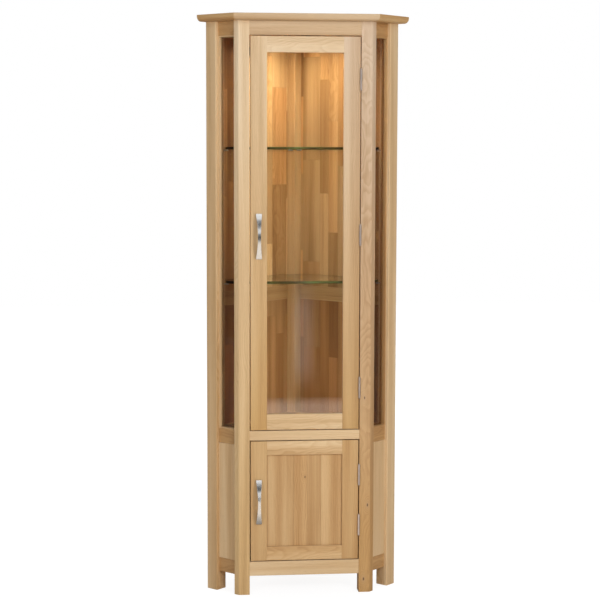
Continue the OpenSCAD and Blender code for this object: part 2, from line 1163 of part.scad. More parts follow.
strike_plate(catch_zs[0]);  // lower_door_strike
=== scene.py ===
"""Dresses a glazed oak corner cupboard over its solids, and sets it in a pale studio."""

import logging
import math
import random
from collections.abc import Iterable, Sequence
from dataclasses import dataclass, replace
from enum import Enum
from functools import lru_cache
from typing import Any

import bmesh
import bpy
from mathutils import Euler, Matrix, Vector


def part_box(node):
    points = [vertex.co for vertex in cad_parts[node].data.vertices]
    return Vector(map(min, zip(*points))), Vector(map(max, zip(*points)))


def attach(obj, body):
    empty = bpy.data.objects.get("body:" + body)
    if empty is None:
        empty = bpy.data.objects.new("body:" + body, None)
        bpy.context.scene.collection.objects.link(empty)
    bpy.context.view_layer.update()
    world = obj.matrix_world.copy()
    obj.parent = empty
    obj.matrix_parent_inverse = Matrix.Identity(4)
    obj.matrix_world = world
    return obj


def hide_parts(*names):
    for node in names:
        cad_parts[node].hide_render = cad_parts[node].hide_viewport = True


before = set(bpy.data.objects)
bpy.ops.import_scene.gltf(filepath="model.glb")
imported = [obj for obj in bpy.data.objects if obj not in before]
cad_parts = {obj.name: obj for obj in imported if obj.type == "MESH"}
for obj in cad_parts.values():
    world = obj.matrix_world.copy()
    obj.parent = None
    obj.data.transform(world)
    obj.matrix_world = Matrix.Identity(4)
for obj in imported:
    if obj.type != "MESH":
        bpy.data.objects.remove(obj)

Colour = tuple[float, float, float]
Point = tuple[float, float, float]
Span = tuple[float, float]
Shape = bmesh.types.BMesh
Socket = bpy.types.NodeSocket

LOG = logging.getLogger("corner_cupboard")
MM = 0.001
HAIR = 0.01 * MM
ARRIS = "arris"
VECTOR = "NodeSocketVector"
NUMBER = "NodeSocketFloat"
WHITE: Colour = (1.0, 1.0, 1.0)
SOME = 0.5  # parts none, 0, from some, 1 or more
MOST: Span = (0.3, 0.7)  # where most of a noise's values lie
CORE: Span = (0.35, 0.65)  # where the middle half of them lies
FACES_UP = 0.9  # how upright a normal is on a level face
MIRROR = Matrix.Scale(-1, 4, (1.0, 0.0, 0.0))


def screen(red: int, green: int, blue: int) -> Colour:
    """Turns a colour as it looks on a screen into the linear one that a shader takes.

    Args:
        red: The red part, 0 to 255.
        green: The green part, 0 to 255.
        blue: The blue part, 0 to 255.

    Returns:
        The linear colour.
    """
    shares = (part / 255 for part in (red, green, blue))
    return tuple(c / 12.92 if c <= 0.04045 else ((c + 0.055) / 1.055) ** 2.4 for c in shares)


def turned(degrees: float, axis: str) -> Matrix:
    """Gives a turn about an axis."""
    return Matrix.Rotation(math.radians(degrees), 4, axis)


# ---------------------------------------------------------------- choices


class Body(Enum):
    """The bodies that pieces ride on."""

    CARCASE = "carcase"
    UPPER_DOOR = "upper_door"
    LOWER_DOOR = "lower_door"


class Slot(Enum):
    """The part's material slots."""

    OUTER_OAK = "outer_oak"
    PALE_OAK = "pale_oak"
    INNER_OAK = "inner_oak"
    PANE = "door_glass"
    SHELF = "shelf_glass"
    NICKEL = "nickel"
    STEEL = "steel"
    RUBBER = "rubber"
    PLASTIC = "black_plastic"
    FROSTED = "frosted"


class Grain(Enum):
    """Which way a board's grain runs."""

    UPRIGHT = "upright"
    ACROSS = "across"
    LEVEL = "level"


class Heading(Enum):
    """Which way a board runs, in degrees from the front's line."""

    FRONT = 0.0
    RISING = 45.0
    FALLING = -45.0


SIDES = (("left", Heading.FALLING), ("right", Heading.RISING))
WALLS = (("left", Heading.RISING), ("right", Heading.FALLING))


def board_turn(grain: Grain, heading: Heading) -> Euler:
    """Finds the turn from the cupboard's axes to a board's own.

    A board's own axes are x across it, y through it and z along its grain.

    Args:
        grain: Which way the grain runs.
        heading: Which way the board runs.

    Returns:
        The turn, for a Mapping node.
    """
    turn = turned(-heading.value, "Z").to_3x3()
    if grain is Grain.ACROSS:
        turn = turned(-90, "Y").to_3x3() @ turn
    elif grain is Grain.LEVEL:
        turn = Matrix(((0, 1, 0), (0, 0, 1), (1, 0, 0))) @ turn
    return turn.to_euler("XYZ")


# ---------------------------------------------------------------- node trees


class NodeSheet:
    """A node tree, with short ways to add to it."""

    def __init__(self, tree: bpy.types.NodeTree) -> None:
        """Takes the tree that nodes are added to."""
        self.tree = tree

    def add(self, kind: str, settings: dict[str, Any] | None = None, *values: Any, **inputs: Any) -> Any:
        """Adds a node.

        Args:
            kind: The node's type.
            settings: The node's own settings.
            *values: Its first inputs in their order, each a value or a socket.
            **inputs: Its inputs by name, with spaces as underscores.

        Returns:
            The node.
        """
        node = self.tree.nodes.new(kind)
        for name, value in (settings or {}).items():
            setattr(node, name, value)
        for socket, value in zip(node.inputs, values):
            self.feed(socket, value)
        for name, value in inputs.items():
            self.feed(node.inputs[name.replace("_", " ")], value)
        return node

    def feed(self, socket: Socket, value: Any) -> None:
        """Links a socket to another, or sets its value.

        Args:
            socket: The input.
            value: A value or an output.
        """
        if isinstance(value, Socket):
            self.tree.links.new(value, socket)
        elif socket.type == "RGBA" and len(value) == 3:
            socket.default_value = (*value, 1.0)
        else:
            socket.default_value = value

    def number(self, operation: str, *values: Any, clamp: bool = False) -> Socket:
        """Adds a sum on numbers and returns its result."""
        return self.add("ShaderNodeMath", {"operation": operation, "use_clamp": clamp}, *values).outputs[0]

    def plus(self, first: Any, second: Any) -> Socket:
        """Adds two numbers."""
        return self.number("ADD", first, second)

    def minus(self, first: Any, second: Any) -> Socket:
        """Takes the second number from the first."""
        return self.number("SUBTRACT", first, second)

    def times(self, first: Any, second: Any) -> Socket:
        """Multiplies two numbers."""
        return self.number("MULTIPLY", first, second)

    def times_plus(self, first: Any, second: Any, third: Any) -> Socket:
        """Multiplies two numbers and adds a third."""
        return self.number("MULTIPLY_ADD", first, second, third)

    def vector(self, operation: str, *values: Any) -> Socket:
        """Adds a sum on vectors and returns its result."""
        node = self.add("ShaderNodeVectorMath", {"operation": operation}, *values)
        return node.outputs["Value" if operation in ("LENGTH", "DISTANCE") else "Vector"]

    def parts(self, vector: Socket) -> list[Socket]:
        """Splits a vector into its three parts."""
        return list(self.add("ShaderNodeSeparateXYZ", Vector=vector).outputs)

    def joined(self, x: Any, y: Any, z: Any) -> Socket:
        """Joins three numbers into a vector."""
        return self.add("ShaderNodeCombineXYZ", X=x, Y=y, Z=z).outputs[0]

    def place(self) -> Socket:
        """Gives the piece's own coordinates."""
        return self.add("ShaderNodeTexCoord").outputs["Object"]

    def eased_edge(self) -> Socket:
        """Gives 1 on an eased edge and 0 elsewhere."""
        return self.add("ShaderNodeAttribute", {"attribute_name": ARRIS}).outputs["Fac"]

    def noise(self, vector: Any, scale: float, detail: float = 2.0, colour: bool = False) -> Socket:
        """Adds a noise and returns its value, or its colour for three numbers at once."""
        node = self.add("ShaderNodeTexNoise", Vector=vector, Scale=scale, Detail=detail)
        return node.outputs["Color" if colour else 0]

    def draws(self, vector: Any) -> Any:
        """Gives the same random numbers wherever a vector is the same."""
        return self.add("ShaderNodeTexWhiteNoise", {"noise_dimensions": "3D"}, Vector=vector).outputs

    def spread(self, value: Any, low: Any, high: Any, to_low: float = 0.0, to_high: float = 1.0) -> Socket:
        """Spreads a value from one range over another, and holds it there."""
        ends = {"From_Min": low, "From_Max": high, "To_Min": to_low, "To_Max": to_high}
        return self.add("ShaderNodeMapRange", Value=value, **ends).outputs[0]

    def patch(self, *bands: tuple[Any, Span]) -> Socket:
        """Gives 1 where several values are all inside their bands.

        Args:
            *bands: Each value, with where its band starts and where it is whole.

        Returns:
            The share, from 0 to 1.
        """
        share: Any = 1.0
        for value, band in bands:
            share = self.times(share, self.spread(value, *band))
        return share

    def ramp(self, value: Any, stops: Sequence[tuple[float, Colour]]) -> Socket:
        """Adds a colour ramp.

        Args:
            value: Where on the ramp the colour is read.
            stops: The place and colour of each stop.

        Returns:
            The colour.
        """
        node = self.add("ShaderNodeValToRGB", Fac=value)
        marks = node.color_ramp.elements
        while len(marks) < len(stops):
            marks.new(0.5)
        for mark, (place, colour) in zip(marks, stops):
            mark.position = place
            mark.color = (*colour, 1.0)
        return node.outputs["Color"]

    def mixed(self, share: Any, first: Any, second: Any, way: str = "MIX") -> Socket:
        """Mixes two colours.

        Args:
            share: The second colour's share.
            first: The first colour.
            second: The second colour.
            way: How they are mixed.

        Returns:
            The result.
        """
        node = self.add("ShaderNodeMix", {"data_type": "RGBA", "blend_type": way})
        sockets = {socket.identifier: socket for socket in (*node.inputs, *node.outputs)}
        for name, value in (("Factor_Float", share), ("A_Color", first), ("B_Color", second)):
            self.feed(sockets[name], value)
        return sockets["Result_Color"]

    def scaled(self, colour: Socket, by: Socket) -> Socket:
        """Multiplies every part of a colour by one number."""
        return self.vector("MULTIPLY", colour, self.joined(by, by, by))

    def bump(self, height: Any, strength: float, distance: float) -> Socket:
        """Adds a bump from a height and returns its normal."""
        return self.add("ShaderNodeBump", Height=height, Strength=strength, Distance=distance).outputs[0]

    def surface(self, **inputs: Any) -> Socket:
        """Adds a principled surface and returns its shader."""
        return self.add("ShaderNodeBsdfPrincipled", **inputs).outputs[0]


def new_sheet(owner: bpy.types.Material | bpy.types.World) -> NodeSheet:
    """Empties the node tree of a material or a world.

    Args:
        owner: The material or world.

    Returns:
        The tree's sheet.
    """
    owner.use_nodes = True
    owner.node_tree.nodes.clear()
    return NodeSheet(owner.node_tree)


def new_group(name: str, inputs: dict[str, str], outputs: dict[str, str]) -> tuple[NodeSheet, Any, Any]:
    """Starts a node group.

    Args:
        name: The group's name.
        inputs: The kind of each input socket by name.
        outputs: The kind of each output socket by name.

    Returns:
        The group's sheet, its input sockets by name and its output node.
    """
    tree = bpy.data.node_groups.new(name, "ShaderNodeTree")
    for way, sockets in (("INPUT", inputs), ("OUTPUT", outputs)):
        for label, kind in sockets.items():
            tree.interface.new_socket(label, in_out=way, socket_type=kind)
    sheet = NodeSheet(tree)
    return sheet, sheet.add("NodeGroupInput").outputs, sheet.add("NodeGroupOutput")


@dataclass(frozen=True)
class OakFigure:
    """Oak's figure: growth rings round a heart, streaks, pores and broad bands.

    A pair of scales is how often a noise changes in a metre across the grain and along it.
    """

    start: Point = (1.7, 3.1, 0.9)
    wander: Span = (7.0, 3.6)
    ripple: Span = (70.0, 6.0)
    streaks: Span = (420.0, 8.0)
    pores: Span = (1700.0, 48.0)
    pore_edge: Span = (0.6, 0.7)
    bands: Span = (30.0, 1.1)
    sway: float = 12 * MM
    knot_sway: float = 14 * MM
    rings_in_metre: float = 270.0
    ripple_share: float = 1.1
    ring_shades: tuple[Span, ...] = ((0.0, 0.1), (0.22, 0.35), (0.5, 0.8), (0.82, 1.0), (1.0, 0.1))

    @lru_cache(maxsize=None)
    def group(self) -> bpy.types.NodeTree:
        """Makes the figure's node group, once.

        Returns:
            The node group.
        """
        sheet, given, result = new_group(
            "oak figure",
            {"Board": VECTOR, "Heart": VECTOR, "Seed": NUMBER, "Knot": NUMBER},
            dict.fromkeys(("Rings", "Streaks", "Pores", "Bands"), NUMBER),
        )
        x, y, z = sheet.parts(given["Board"])
        heart_x, heart_y, lean = sheet.parts(given["Heart"])
        start = sheet.vector("SCALE", self.start)
        sheet.feed(start.node.inputs["Scale"], given["Seed"])

        def drawn_out(scales: Span, detail: float, colour: bool = False) -> Socket:
            """Gives a noise that is drawn out along the grain."""
            place = sheet.vector("MULTIPLY", given["Board"], (scales[0], scales[0], scales[1]))
            return sheet.noise(sheet.vector("ADD", place, start), 1.0, detail, colour)

        wander = sheet.parts(drawn_out(self.wander, 3.0, colour=True))
        across, behind = (sheet.spread(part, *MOST, -self.sway, self.sway) for part in wander[:2])
        across = sheet.plus(sheet.minus(x, heart_x), across)
        behind = sheet.plus(sheet.plus(sheet.minus(y, heart_y), sheet.times(z, lean)), behind)
        reach = sheet.vector("LENGTH", sheet.joined(across, behind, 0.0))
        reach = sheet.times_plus(given["Knot"], self.knot_sway, reach)
        ripple = sheet.times(drawn_out(self.ripple, 2.0), self.ripple_share)
        rings = sheet.number("FRACT", sheet.times_plus(reach, self.rings_in_metre, ripple))
        for name, value in (
            ("Rings", sheet.ramp(rings, [(place, (shade,) * 3) for place, shade in self.ring_shades])),
            ("Streaks", drawn_out(self.streaks, 3.0)),
            ("Pores", sheet.spread(drawn_out(self.pores, 1.0), *self.pore_edge)),
            ("Bands", drawn_out(self.bands, 1.5)),
        ):
            sheet.feed(result.inputs[name], value)
        return sheet.tree


@dataclass(frozen=True)
class StavePattern:
    """Glued staves: columns of short boards butted end to end, each with its own cut of oak."""

    swing_rate: float = 2.1
    swing: float = 0.24
    lengths: Span = (0.65, 1.5)
    stagger: float = 9.0
    cut: Point = (0.16, 0.05, 5.0)
    next_seed: float = 31.0
    half_line: float = 0.7 * MM

    @lru_cache(maxsize=None)
    def group(self) -> bpy.types.NodeTree:
        """Makes the pattern's node group, once.

        Returns:
            The node group.
        """
        sheet, given, result = new_group(
            "glued staves",
            {"Board": VECTOR, "Width": NUMBER, "Length": NUMBER, "Seed": NUMBER},
            {"Board": VECTOR, "Tone": NUMBER, "Blush": NUMBER, "Joint": NUMBER},
        )
        x, _, z = sheet.parts(given["Board"])
        steps = sheet.plus(sheet.number("DIVIDE", x, given["Width"]), given["Seed"])
        swing = sheet.number("SINE", sheet.times(steps, self.swing_rate))
        steps = sheet.times_plus(swing, self.swing, steps)
        column = sheet.number("FLOOR", steps)
        draw = sheet.add("ShaderNodeTexWhiteNoise", {"noise_dimensions": "1D"}, W=column)
        luck = sheet.parts(draw.outputs["Color"])
        length = sheet.times(given["Length"], sheet.spread(luck[0], 0.0, 1.0, *self.lengths))
        climb = sheet.plus(sheet.number("DIVIDE", z, length), sheet.times(luck[1], self.stagger))
        row = sheet.number("FLOOR", climb)
        cell = sheet.draws(sheet.joined(column, row, given["Seed"]))["Color"]
        cut = sheet.vector("MULTIPLY", sheet.vector("SUBTRACT", cell, (0.5, 0.5, 0.5)), self.cut)
        look = sheet.draws(sheet.joined(row, column, sheet.plus(given["Seed"], self.next_seed)))

        def line(value: Socket, size: Socket) -> Socket:
            """Draws the line between two cells.

            Args:
                value: The place, counted in cells.
                size: A cell's size in metres.

            Returns:
                1 on the line and 0 away from it.
            """
            share = sheet.number("FRACT", value)
            gap = sheet.number("MINIMUM", share, sheet.minus(1.0, share))
            return sheet.spread(sheet.times(gap, size), 0.0, self.half_line, 1.0, 0.0)

        for name, value in (
            ("Board", sheet.vector("ADD", given["Board"], cut)),
            ("Tone", look["Value"]),
            ("Blush", sheet.parts(look["Color"])[1]),
            ("Joint", sheet.number("MAXIMUM", line(steps, given["Width"]), line(climb, length))),
        ):
            sheet.feed(result.inputs[name], value)
        return sheet.tree


FIGURE = OakFigure()
STAVE_PATTERN = StavePattern()


# ---------------------------------------------------------------- finishes


@dataclass(frozen=True)
class Finish:
    """A named finish: each kind of surface works out its own shader."""

    name: str

    def shader(self, sheet: NodeSheet) -> Socket:
        """Adds the finish's nodes to a material's sheet and returns its shader."""
        raise NotImplementedError


@lru_cache(maxsize=None)
def material_of(finish: Finish) -> bpy.types.Material:
    """Makes a finish's material, once.

    Args:
        finish: The finish.

    Returns:
        The material.
    """
    material = bpy.data.materials.new(finish.name)
    sheet = new_sheet(material)
    sheet.add("ShaderNodeOutputMaterial", Surface=finish.shader(sheet))
    return material


@dataclass(frozen=True)
class OakBatch:
    """The colours of one batch of oak."""

    dark: Colour
    middle: Colour
    light: Colour


FAIR = OakBatch(screen(199, 168, 129), screen(221, 194, 157), screen(234, 213, 182))
ROSY = OakBatch(screen(184, 154, 122), screen(205, 179, 151), screen(220, 198, 173))
HONEY = OakBatch(screen(184, 146, 99), screen(208, 174, 130), screen(224, 196, 155))
PALE = OakBatch(screen(192, 156, 111), screen(213, 182, 140), screen(227, 202, 164))
RUSSET = OakBatch(screen(172, 130, 82), screen(198, 159, 111), screen(217, 185, 139))
BROWN = OakBatch(screen(158, 116, 70), screen(184, 142, 93), screen(202, 163, 113))
TAN = OakBatch(screen(172, 138, 101), screen(195, 165, 129), screen(211, 186, 153))
TAWNY = OakBatch(screen(164, 121, 73), screen(189, 149, 100), screen(207, 173, 125))
INNER = OakBatch(screen(160, 119, 75), screen(197, 158, 108), screen(217, 181, 131))
DEEP = OakBatch(screen(138, 97, 59), screen(170, 127, 81), screen(190, 148, 101))


@dataclass(frozen=True)
class Staves:
    """How a glued panel is made up."""

    width: float = 40 * MM
    length: float = 520 * MM
    contrast: float = 0.2
    blush: float = 0.25


@dataclass(frozen=True)
class Knot:
    """A pin knot, by its place from the board's middle and its radius."""

    across: float
    along: float
    radius: float


@dataclass(frozen=True)
class Oak:
    """How one board or glued panel is cut, with None where chance says how it was sawn."""

    batch: OakBatch
    grain: Grain
    heading: Heading
    seed: int
    flat_sawn: bool | None = False
    staves: Staves | None = None
    knots: tuple[Knot, ...] = ()
    # Painted shade: the colour the board is multiplied by towards its lower end, where the light from above
    # falls off.
    painted_foot_shade: Colour = WHITE
    figure: float = 0.24


@dataclass(frozen=True)
class OakFinish(Finish):
    """Lacquered oak on one board or one glued panel."""

    oak: Oak
    centre: Point
    flat_chance: float = 0.4
    flat_beside: Span = (-18 * MM, 18 * MM)
    flat_behind: Span = (35 * MM, 70 * MM)
    flat_lean: Span = (0.03, 0.06)
    rift_beside: Span = (100 * MM, 190 * MM)
    rift_behind: Span = (30 * MM, 90 * MM)
    rift_lean: Span = (-0.012, 0.012)
    knot_shape: Point = (1.0, 0.0, 0.45)
    knot_reach: float = 5.0
    knot_shades: Span = (0.35, 0.85)
    knot_colour: Colour = (0.09, 0.045, 0.022)
    band_range: Span = (0.32, 0.68)
    figure_share: float = 0.8
    streak_share: float = 0.2
    batch_stops: Point = (0.12, 0.5, 0.92)
    half_length: float = 0.7
    tone_up: float = 0.55
    blush_range: Span = (0.6, 0.95)
    dark_range: Span = (0.5, 0.05)
    blush_tint: Colour = (0.95, 0.72, 0.5)
    joint_shade: float = 0.66
    pore_share: float = 0.14
    pore_colour: Colour = (0.12, 0.07, 0.035)
    # Eased edges are lightened: partly wear, partly a painted highlight where the rounded arris catches the
    # light.
    edge_lightening: float = 0.3
    rough: Span = (0.43, 0.58)
    worn_gloss: float = 0.08
    heights: Point = (0.25, 0.5, 0.45)
    relief: float = 0.3
    relief_depth: float = 0.5 * MM
    knot_fade: float = 3.0
    seeds: Span = (0.0, 40.0)

    def heart(self, luck: random.Random) -> Point:
        """Draws where the tree's heart lies from the board, and how it leans.

        Args:
            luck: The board's own draws.

        Returns:
            How far the heart lies beside and behind the board's middle, and its lean.
        """
        flat = self.oak.flat_sawn
        if flat is None:
            flat = luck.random() < self.flat_chance
        if flat:
            beside = luck.uniform(*self.flat_beside)
            behind = luck.uniform(*self.flat_behind)
            return beside, behind, luck.choice((-1, 1)) * luck.uniform(*self.flat_lean)
        beside = luck.choice((-1, 1)) * luck.uniform(*self.rift_beside)
        behind = luck.uniform(*self.rift_behind)
        return beside, behind, luck.uniform(*self.rift_lean)

    def knot_marks(self, sheet: NodeSheet, place: Socket) -> tuple[Any, Any]:
        """Finds how much each place is swayed by knots, and how much it lies inside one.

        Args:
            sheet: The material's sheet.
            place: The place in the board's own axes.

        Returns:
            The sway and the core, each from 0 to 1.
        """
        sway: Any = 0.0
        core: Any = 0.0
        for knot in self.oak.knots:
            offset = sheet.vector("SUBTRACT", place, (knot.across, 0.0, knot.along))
            away = sheet.vector("LENGTH", sheet.vector("MULTIPLY", offset, self.knot_shape))
            sway = sheet.plus(sway, sheet.spread(away, knot.radius, knot.radius * self.knot_reach, 1.0, 0.0))
            core = sheet.plus(core, sheet.spread(away, knot.radius / 2, knot.radius, 1.0, 0.0))
        return sway, core

    def glued(self, sheet: NodeSheet, colour: Socket, staves: Staves, pattern: Any) -> Socket:
        """Gives each stave its own tone, and draws the joints between them.

        Args:
            sheet: The material's sheet.
            colour: The oak's colour.
            staves: How the panel is made up.
            pattern: The outputs of the staves' pattern.

        Returns:
            The colour of the glued panel.
        """
        lowest, highest = 1.0 - staves.contrast, 1.0 + staves.contrast * self.tone_up
        tone = sheet.spread(pattern["Tone"], 0.0, 1.0, lowest, highest)
        blush = sheet.number(
            "MAXIMUM",
            sheet.spread(pattern["Blush"], *self.blush_range, 0.0, staves.blush),
            sheet.spread(pattern["Tone"], *self.dark_range, 0.0, staves.blush),
        )
        colour = sheet.mixed(1.0, colour, sheet.mixed(blush, WHITE, self.blush_tint), "MULTIPLY")
        line = sheet.spread(pattern["Joint"], 0.0, 1.0, 1.0, self.joint_shade)
        return sheet.scaled(sheet.scaled(colour, tone), line)

    def shader(self, sheet: NodeSheet) -> Socket:
        """Adds the board's figure, colour, knots, painted shade towards its lower end, and eased edges
        lightened by wear and by a painted highlight.

        Args:
            sheet: The material's sheet.

        Returns:
            The shader.
        """
        oak, batch = self.oak, self.oak.batch
        luck = random.Random(oak.seed)
        turn = board_turn(oak.grain, oak.heading)
        middle = turn.to_matrix() @ Vector(self.centre)
        mapping = sheet.add("ShaderNodeMapping", Vector=sheet.place(), Rotation=turn, Location=-middle)
        place = board = mapping.outputs[0]
        sway, core = self.knot_marks(sheet, place)
        seed = luck.uniform(*self.seeds)
        pattern = None
        if oak.staves:
            sizes = {"Width": oak.staves.width, "Length": oak.staves.length, "Seed": seed}
            settings = {"node_tree": STAVE_PATTERN.group()}
            pattern = sheet.add("ShaderNodeGroup", settings, Board=place, **sizes).outputs
            board = pattern["Board"]
        settings = {"node_tree": FIGURE.group()}
        inputs = {"Board": board, "Heart": self.heart(luck), "Seed": seed, "Knot": sway}
        rings, streaks, pores, bands = sheet.add("ShaderNodeGroup", settings, **inputs).outputs
        shade = sheet.times(sheet.spread(bands, *self.band_range), self.figure_share - oak.figure)
        shade = sheet.times_plus(sheet.spread(streaks, *MOST), self.streak_share, shade)
        shade = sheet.times_plus(rings, oak.figure, shade)
        colour = sheet.ramp(shade, list(zip(self.batch_stops, (batch.dark, batch.middle, batch.light))))
        # Painted shade: darker and warmer towards the board's lower end, where the light from above falls
        # off.
        if oak.painted_foot_shade != WHITE:
            low = sheet.spread(sheet.parts(place)[2], self.half_length, -self.half_length)
            colour = sheet.mixed(low, colour, sheet.vector("MULTIPLY", colour, oak.painted_foot_shade))
        if oak.staves:
            colour = self.glued(sheet, colour, oak.staves, pattern)
        colour = sheet.mixed(sheet.times(pores, self.pore_share), colour, self.pore_colour)
        if oak.knots:
            ring_shade, core_shade = self.knot_shades
            ring = sheet.times(sheet.number("POWER", sway, self.knot_fade), ring_shade)
            colour = sheet.mixed(ring, colour, batch.dark)
            colour = sheet.mixed(sheet.times(core, core_shade), colour, self.knot_colour)
        # Painted highlight and wear: eased edges are lightened towards the batch's light colour and made
        # glossier.
        eased_edge = sheet.eased_edge()
        colour = sheet.mixed(sheet.times(eased_edge, self.edge_lightening), colour, batch.light)
        rough = sheet.times_plus(eased_edge, -self.worn_gloss, sheet.spread(streaks, *MOST, *self.rough))
        ring_height, streak_height, pore_depth = self.heights
        height = sheet.times_plus(rings, ring_height, sheet.times(streaks, streak_height))
        height = sheet.minus(height, sheet.times(pores, pore_depth))
        return sheet.surface(
            Base_Color=colour, Roughness=rough, Normal=sheet.bump(height, self.relief, self.relief_depth),
            Coat_Weight=0.12, Coat_Roughness=0.35,
        )


@dataclass(frozen=True)
class MetalFinish(Finish):
    """Plated or plain metal, with the fine lines that polishing leaves."""

    colour: Colour
    roughness: float
    lines: Point
    smear_scale: float = 55.0
    dullest: float = 0.86
    edge_lightening: float = 0.4
    worn_colour: Colour = (0.9, 0.89, 0.87)
    smoother: float = 0.04
    rougher: float = 0.07
    line_roughness: float = 0.05
    line_relief: float = 0.12
    line_depth: float = 0.2 * MM

    def shader(self, sheet: NodeSheet) -> Socket:
        """Adds the metal's smears, lines and worn edges.

        Args:
            sheet: The material's sheet.

        Returns:
            The shader.
        """
        place = sheet.place()
        lines = sheet.noise(sheet.vector("MULTIPLY", place, self.lines), 1.0, 3.0)
        smears = sheet.noise(place, self.smear_scale, 3.0)
        dull = tuple(part * self.dullest for part in self.colour)
        colour = sheet.mixed(sheet.spread(smears, *CORE), dull, self.colour)
        colour = sheet.mixed(sheet.times(sheet.eased_edge(), self.edge_lightening), colour, self.worn_colour)
        rough = sheet.spread(smears, *MOST, self.roughness - self.smoother, self.roughness + self.rougher)
        rough = sheet.times_plus(sheet.spread(lines, *CORE), self.line_roughness, rough)
        normal = sheet.bump(lines, self.line_relief, self.line_depth)
        return sheet.surface(Base_Color=colour, Metallic=1.0, Roughness=rough, Normal=normal)


@dataclass(frozen=True)
class GlassFinish(Finish):
    """Clear glass that lets lamps through."""

    colour: Colour
    lamplight: Colour
    film_scale: float = 7.0
    film: Span = (0.45, 0.75)
    film_roughness: float = 0.02

    def shader(self, sheet: NodeSheet) -> Socket:
        """Adds the glass, with a faint film on it.

        Args:
            sheet: The material's sheet.

        Returns:
            The shader.
        """
        film = sheet.noise(sheet.place(), self.film_scale, 3.0)
        rough = sheet.spread(film, *self.film, 0.0, self.film_roughness)
        glass = sheet.surface(Base_Color=self.colour, Roughness=rough, IOR=1.5, Transmission_Weight=1.0)
        clear = sheet.add("ShaderNodeBsdfTransparent", Color=self.lamplight).outputs[0]
        lamp_ray = sheet.add("ShaderNodeLightPath").outputs["Is Shadow Ray"]
        return sheet.add("ShaderNodeMixShader", None, lamp_ray, glass, clear).outputs[0]


@dataclass(frozen=True)
class GlassEdgeFinish(Finish):
    """The polished edge of thick glass, deep green because the light has come far through it."""

    deep: Colour
    bright: Colour
    runs: Point = (14.0, 14.0, 160.0)
    bright_range: Span = (0.5, 0.72)
    polish_scale: float = 300.0
    polish: Span = (0.06, 0.16)

    def shader(self, sheet: NodeSheet) -> Socket:
        """Adds the edge's brighter runs and its polish.

        Args:
            sheet: The material's sheet.

        Returns:
            The shader.
        """
        place = sheet.place()
        runs = sheet.noise(sheet.vector("MULTIPLY", place, self.runs), 1.0)
        colour = sheet.mixed(sheet.spread(runs, *self.bright_range), self.deep, self.bright)
        rough = sheet.spread(sheet.noise(place, self.polish_scale), *MOST, *self.polish)
        coat = {"Coat_Weight": 0.3, "Coat_Roughness": 0.05}
        return sheet.surface(Base_Color=colour, Roughness=rough, IOR=1.5, **coat)


@dataclass(frozen=True)
class PlasticFinish(Finish):
    """Moulded plastic or rubber."""

    colour: Colour
    roughness: float
    speck_scale: float = 900.0
    cloud_scale: float = 45.0
    pale_share: float = 0.35
    pale_gain: float = 1.5
    pale_lift: float = 0.02
    uneven: float = 0.06
    speck_relief: float = 0.25
    speck_depth: float = 0.2 * MM

    def shader(self, sheet: NodeSheet) -> Socket:
        """Adds the plastic's specks, clouds and worn edges.

        Args:
            sheet: The material's sheet.

        Returns:
            The shader.
        """
        place = sheet.place()
        specks, clouds = (sheet.noise(place, scale) for scale in (self.speck_scale, self.cloud_scale))
        pale = tuple(part * self.pale_gain + self.pale_lift for part in self.colour)
        colour = sheet.mixed(sheet.spread(clouds, *CORE, 0.0, self.pale_share), self.colour, pale)
        colour = sheet.mixed(sheet.times(sheet.eased_edge(), self.pale_share), colour, pale)
        rough = sheet.spread(specks, *MOST, self.roughness - self.uneven, self.roughness + self.uneven)
        normal = sheet.bump(specks, self.speck_relief, self.speck_depth)
        return sheet.surface(Base_Color=colour, Roughness=rough, Normal=normal)


@dataclass(frozen=True)
class LensFinish(Finish):
    """A frosted lens with its lamp on, brighter in the middle than at the rim."""

    glow: Colour
    centre: Point
    radius: float
    strength: float = 6.0
    colour: Colour = (0.86, 0.82, 0.74)
    rim_level: float = 0.45
    frost_scale: float = 800.0
    frost: Span = (0.9, 1.0)
    rough: Span = (0.35, 0.5)

    def shader(self, sheet: NodeSheet) -> Socket:
        """Adds the lens's frost and its glow.

        Args:
            sheet: The material's sheet.

        Returns:
            The shader.
        """
        place = sheet.place()
        away = sheet.vector("DISTANCE", place, self.centre)
        middle = sheet.spread(away, 0.0, self.radius, 1.0, self.rim_level)
        frost = sheet.spread(sheet.noise(place, self.frost_scale), *MOST, *self.frost)
        level = sheet.times(sheet.times(middle, frost), self.strength)
        rough = sheet.spread(frost, *self.frost, *self.rough)
        glow = {"Emission_Color": self.glow, "Emission_Strength": level}
        return sheet.surface(Base_Color=self.colour, Roughness=rough, **glow)


NICKEL = MetalFinish("satin nickel", (0.74, 0.73, 0.71), roughness=0.2, lines=(900.0, 900.0, 30.0))
HINGE_NICKEL = MetalFinish("hinge nickel", (0.74, 0.65, 0.6), roughness=0.4, lines=(700.0, 700.0, 700.0))
STEEL = MetalFinish("zinc steel", (0.58, 0.58, 0.58), roughness=0.33, lines=(600.0, 600.0, 600.0))
LAMP_STEEL = MetalFinish("brushed lamp ring", (0.6, 0.6, 0.6), roughness=0.3, lines=(60.0, 60.0, 1500.0))
PANE = GlassFinish("door pane", (0.965, 0.985, 0.975), lamplight=(0.88, 0.86, 0.8))
